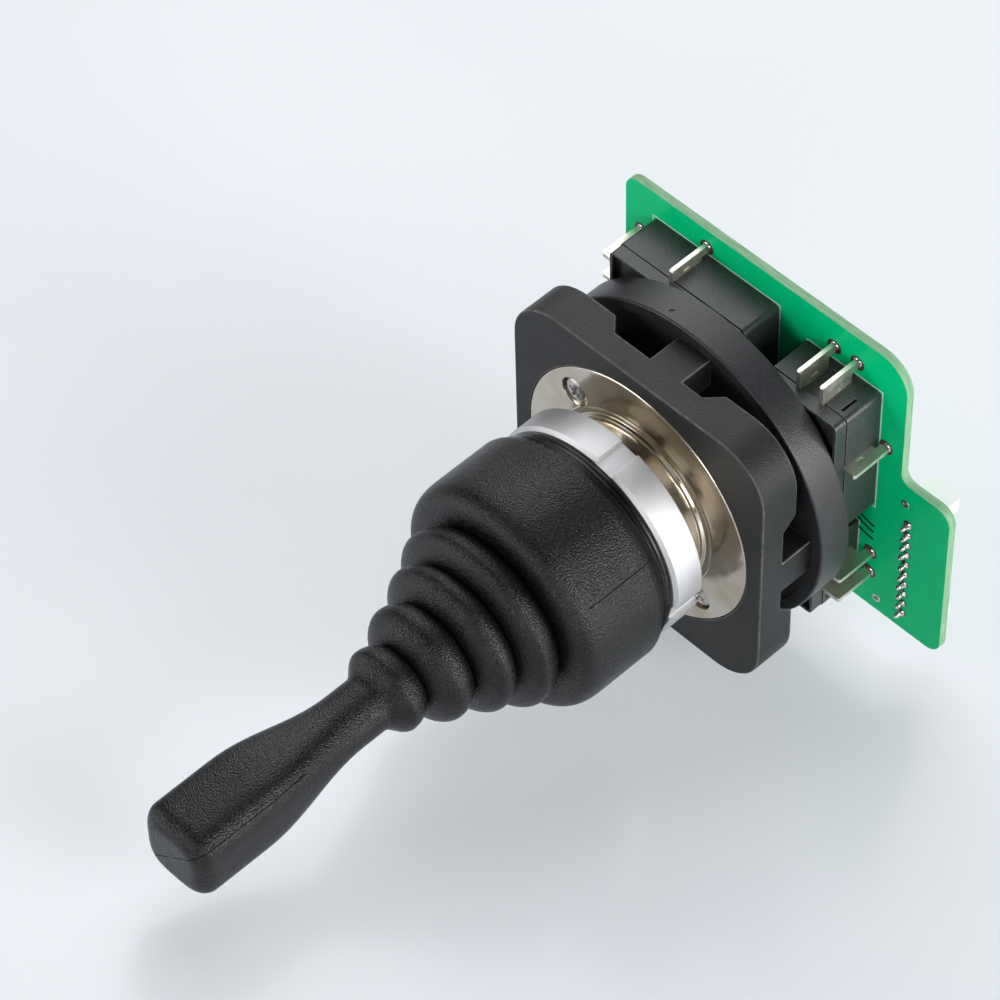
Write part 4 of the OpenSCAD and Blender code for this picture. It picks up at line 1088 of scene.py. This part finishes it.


# ---- Return spring: two coils ----

def make_coil(name, wire_r, coil_r, low, high, turns):
    """Part of a coil spring: a wire's round end, wound up about Z and closed at both ends."""
    lay_tools_down()
    bpy.ops.mesh.primitive_circle_add(
        vertices=12, radius=wire_r * MM, location=(coil_r * MM, 0, low * MM),
        rotation=(math.pi / 2, 0, 0))
    piece = settle(named(name))
    winding = piece.modifiers.new("winding", "SCREW")
    winding.iterations = turns
    winding.screw_offset = (high - low) / turns * MM
    winding.steps = winding.render_steps = 32
    bpy.ops.object.modifier_apply(modifier=winding.name)
    open_mesh(piece, "EDGE")
    bpy.ops.mesh.select_non_manifold(extend=False)
    bpy.ops.mesh.fill_holes(sides=0)
    smooth(faced_outwards(piece), 50)
    hand_over_bending(piece, SPRING_STEEL, "return_spring")


def make_return_spring():
    wire_r, coil_r, turns = 0.6, 6.2, 5
    low, high = (corner[2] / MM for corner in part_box("return_spring"))
    low, high = low + wire_r, high - wire_r
    split = low + (high - low) / turns
    make_coil("spring_foot_turn", wire_r, coil_r, low, split, 1)
    make_coil(
        "spring_upper_turns", wire_r, coil_r, split, high, turns - 1)


make_mounting_block()
make_flange()
make_flange_screws()
make_ring_nut()
make_boot_skirt()
make_boot_folds()
make_grip()
make_base_disc()
make_switches()
make_board()
make_joints()
make_post_joints()
make_via_rings()
make_tracks()
make_print()
make_connector()
make_return_spring()

for finish, nodes in (  # of the solids that stay as they are
        (SCREW_STEEL, ("boot_retainer", "actuator_screw")),
        (GIMBAL_STEEL, ("spring_seat", "gimbal_ring", "spring_collar")),
        (PIN_STEEL, ("gimbal_pins", "lever_shaft", "cross_pin")),
        (SPRING_STEEL, ("collar_clip",)), (PIN_TIN, ("header_pins",)),
        (ACTUATOR_PLASTIC, ("actuator",)),
        (PLUNGER_PLASTIC, [f"switch_{i}_plunger" for i in (1, 2, 3, 4)])):
    for node in nodes:
        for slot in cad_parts[node].material_slots:
            slot.material = finish


# ---- Studio: floor, light and camera ----

FLOOR_NORMAL, FLOOR_DISTANCE = (0, -0.9799, -0.1995), 34
MIDDLE = (0, 0, 25)  # where the lights aim


def make_floor():
    """A pale glossy floor that can't be seen from behind."""
    lay_tools_down()
    bpy.ops.mesh.primitive_plane_add(size=4)
    floor = named("studio_floor")
    tilt = math.degrees(math.atan2(-FLOOR_NORMAL[1], FLOOR_NORMAL[2]))
    placed(floor, move=[-c * FLOOR_DISTANCE for c in FLOOR_NORMAL], turn=(tilt, 0, 0))
    cover = Finish("studio floor", (0.72, 0.76, 0.81), 0.22)
    pale = cover.mixed(
        cover.between(cover.noise(260, 2), 0.35, 0.65),
        (0.73, 0.765, 0.81), (0.81, 0.84, 0.875))
    cover.colour(pale)
    cover.roughened(cover.noise(40), 0.16, 0.24)
    glow = cover.add("ShaderNodeEmission", {"Color": pale}).outputs[0]
    seen = cover.add("ShaderNodeLightPath").outputs
    direct = cover.plus(
        cover.times(seen["Is Camera Ray"], 0.35), cover.times(seen["Is Glossy Ray"], 0.1))
    lit = cover.add("ShaderNodeMixShader", {0: direct, 1: cover.shader.outputs[0], 2: glow})
    behind = cover.add("ShaderNodeNewGeometry").outputs["Backfacing"]
    clear = cover.add("ShaderNodeBsdfTransparent").outputs[0]
    both = cover.add("ShaderNodeMixShader", {0: behind, 1: lit.outputs[0], 2: clear})
    cover.join(both.outputs[0], cover.tree.nodes["Material Output"].inputs["Surface"])
    floor.data.materials.append(cover.material)


def soft_light(name, place, power, size=(550, 550), tint=(1, 1, 1)):
    lay_tools_down()
    bpy.ops.object.light_add(type="AREA", location=[c * MM for c in place])
    lamp = bpy.context.object
    lamp.name = name
    lamp.data.shape = "RECTANGLE"
    lamp.data.size, lamp.data.size_y = size[0] * MM, size[1] * MM
    lamp.data.energy = power
    lamp.data.color = tint
    direction = [a - p for a, p in zip(MIDDLE, place)]
    lamp.rotation_euler = Vector(direction).to_track_quat("-Z", "Y").to_euler()


def make_world():
    """A faint blue light from all round, with a pale backdrop for the camera alone."""
    world = bpy.data.worlds.new("studio")
    bpy.context.scene.world = world
    world.use_nodes = True
    nodes, links = world.node_tree.nodes, world.node_tree.links
    faint = nodes["Background"]
    faint.inputs["Color"].default_value = (0.90, 0.94, 1.0, 1)
    faint.inputs["Strength"].default_value = 0.03
    backdrop = nodes.new("ShaderNodeBackground")
    backdrop.inputs["Color"].default_value = (0.86, 0.89, 0.93, 1)
    seen = nodes.new("ShaderNodeLightPath")
    mix = nodes.new("ShaderNodeMixShader")
    links.new(seen.outputs["Is Camera Ray"], mix.inputs[0])
    links.new(faint.outputs[0], mix.inputs[1])
    links.new(backdrop.outputs[0], mix.inputs[2])
    links.new(mix.outputs[0], nodes["World Output"].inputs["Surface"])


def make_camera():
    lay_tools_down()
    bpy.ops.object.camera_add(
        location=(-0.321196, -0.556162, 0.328856),
        rotation=[math.radians(a) for a in (-51.67193, 45.62219, 178.33943)])
    camera = bpy.context.object
    camera.name = "photo_camera"
    camera.data.lens, camera.data.sensor_width = 162.0634, 36
    camera.data.shift_x, camera.data.shift_y = -0.00023, -0.00033
    camera.data.clip_start, camera.data.clip_end = 0.05, 20
    bpy.context.scene.camera = camera


make_floor()
make_world()
soft_light("front", (-369, -748, 389), 0.5)
soft_light("end", (-405, -315, 763), 2.4, (300, 300))
soft_light("left", (561, -335, 670), 3.9)
soft_light("right", (-823, -355, -28), 4.4, (450, 450))
soft_light("low right", (-796, -158, -366), 4.0, (350, 350))
soft_light("top", (350, -700, -380), 3.9, (850, 700), (0.96, 0.98, 1.0))
soft_light("back", (526, -320, -606), 2.2)
make_camera()
bpy.context.scene.view_settings.view_transform = "Standard"
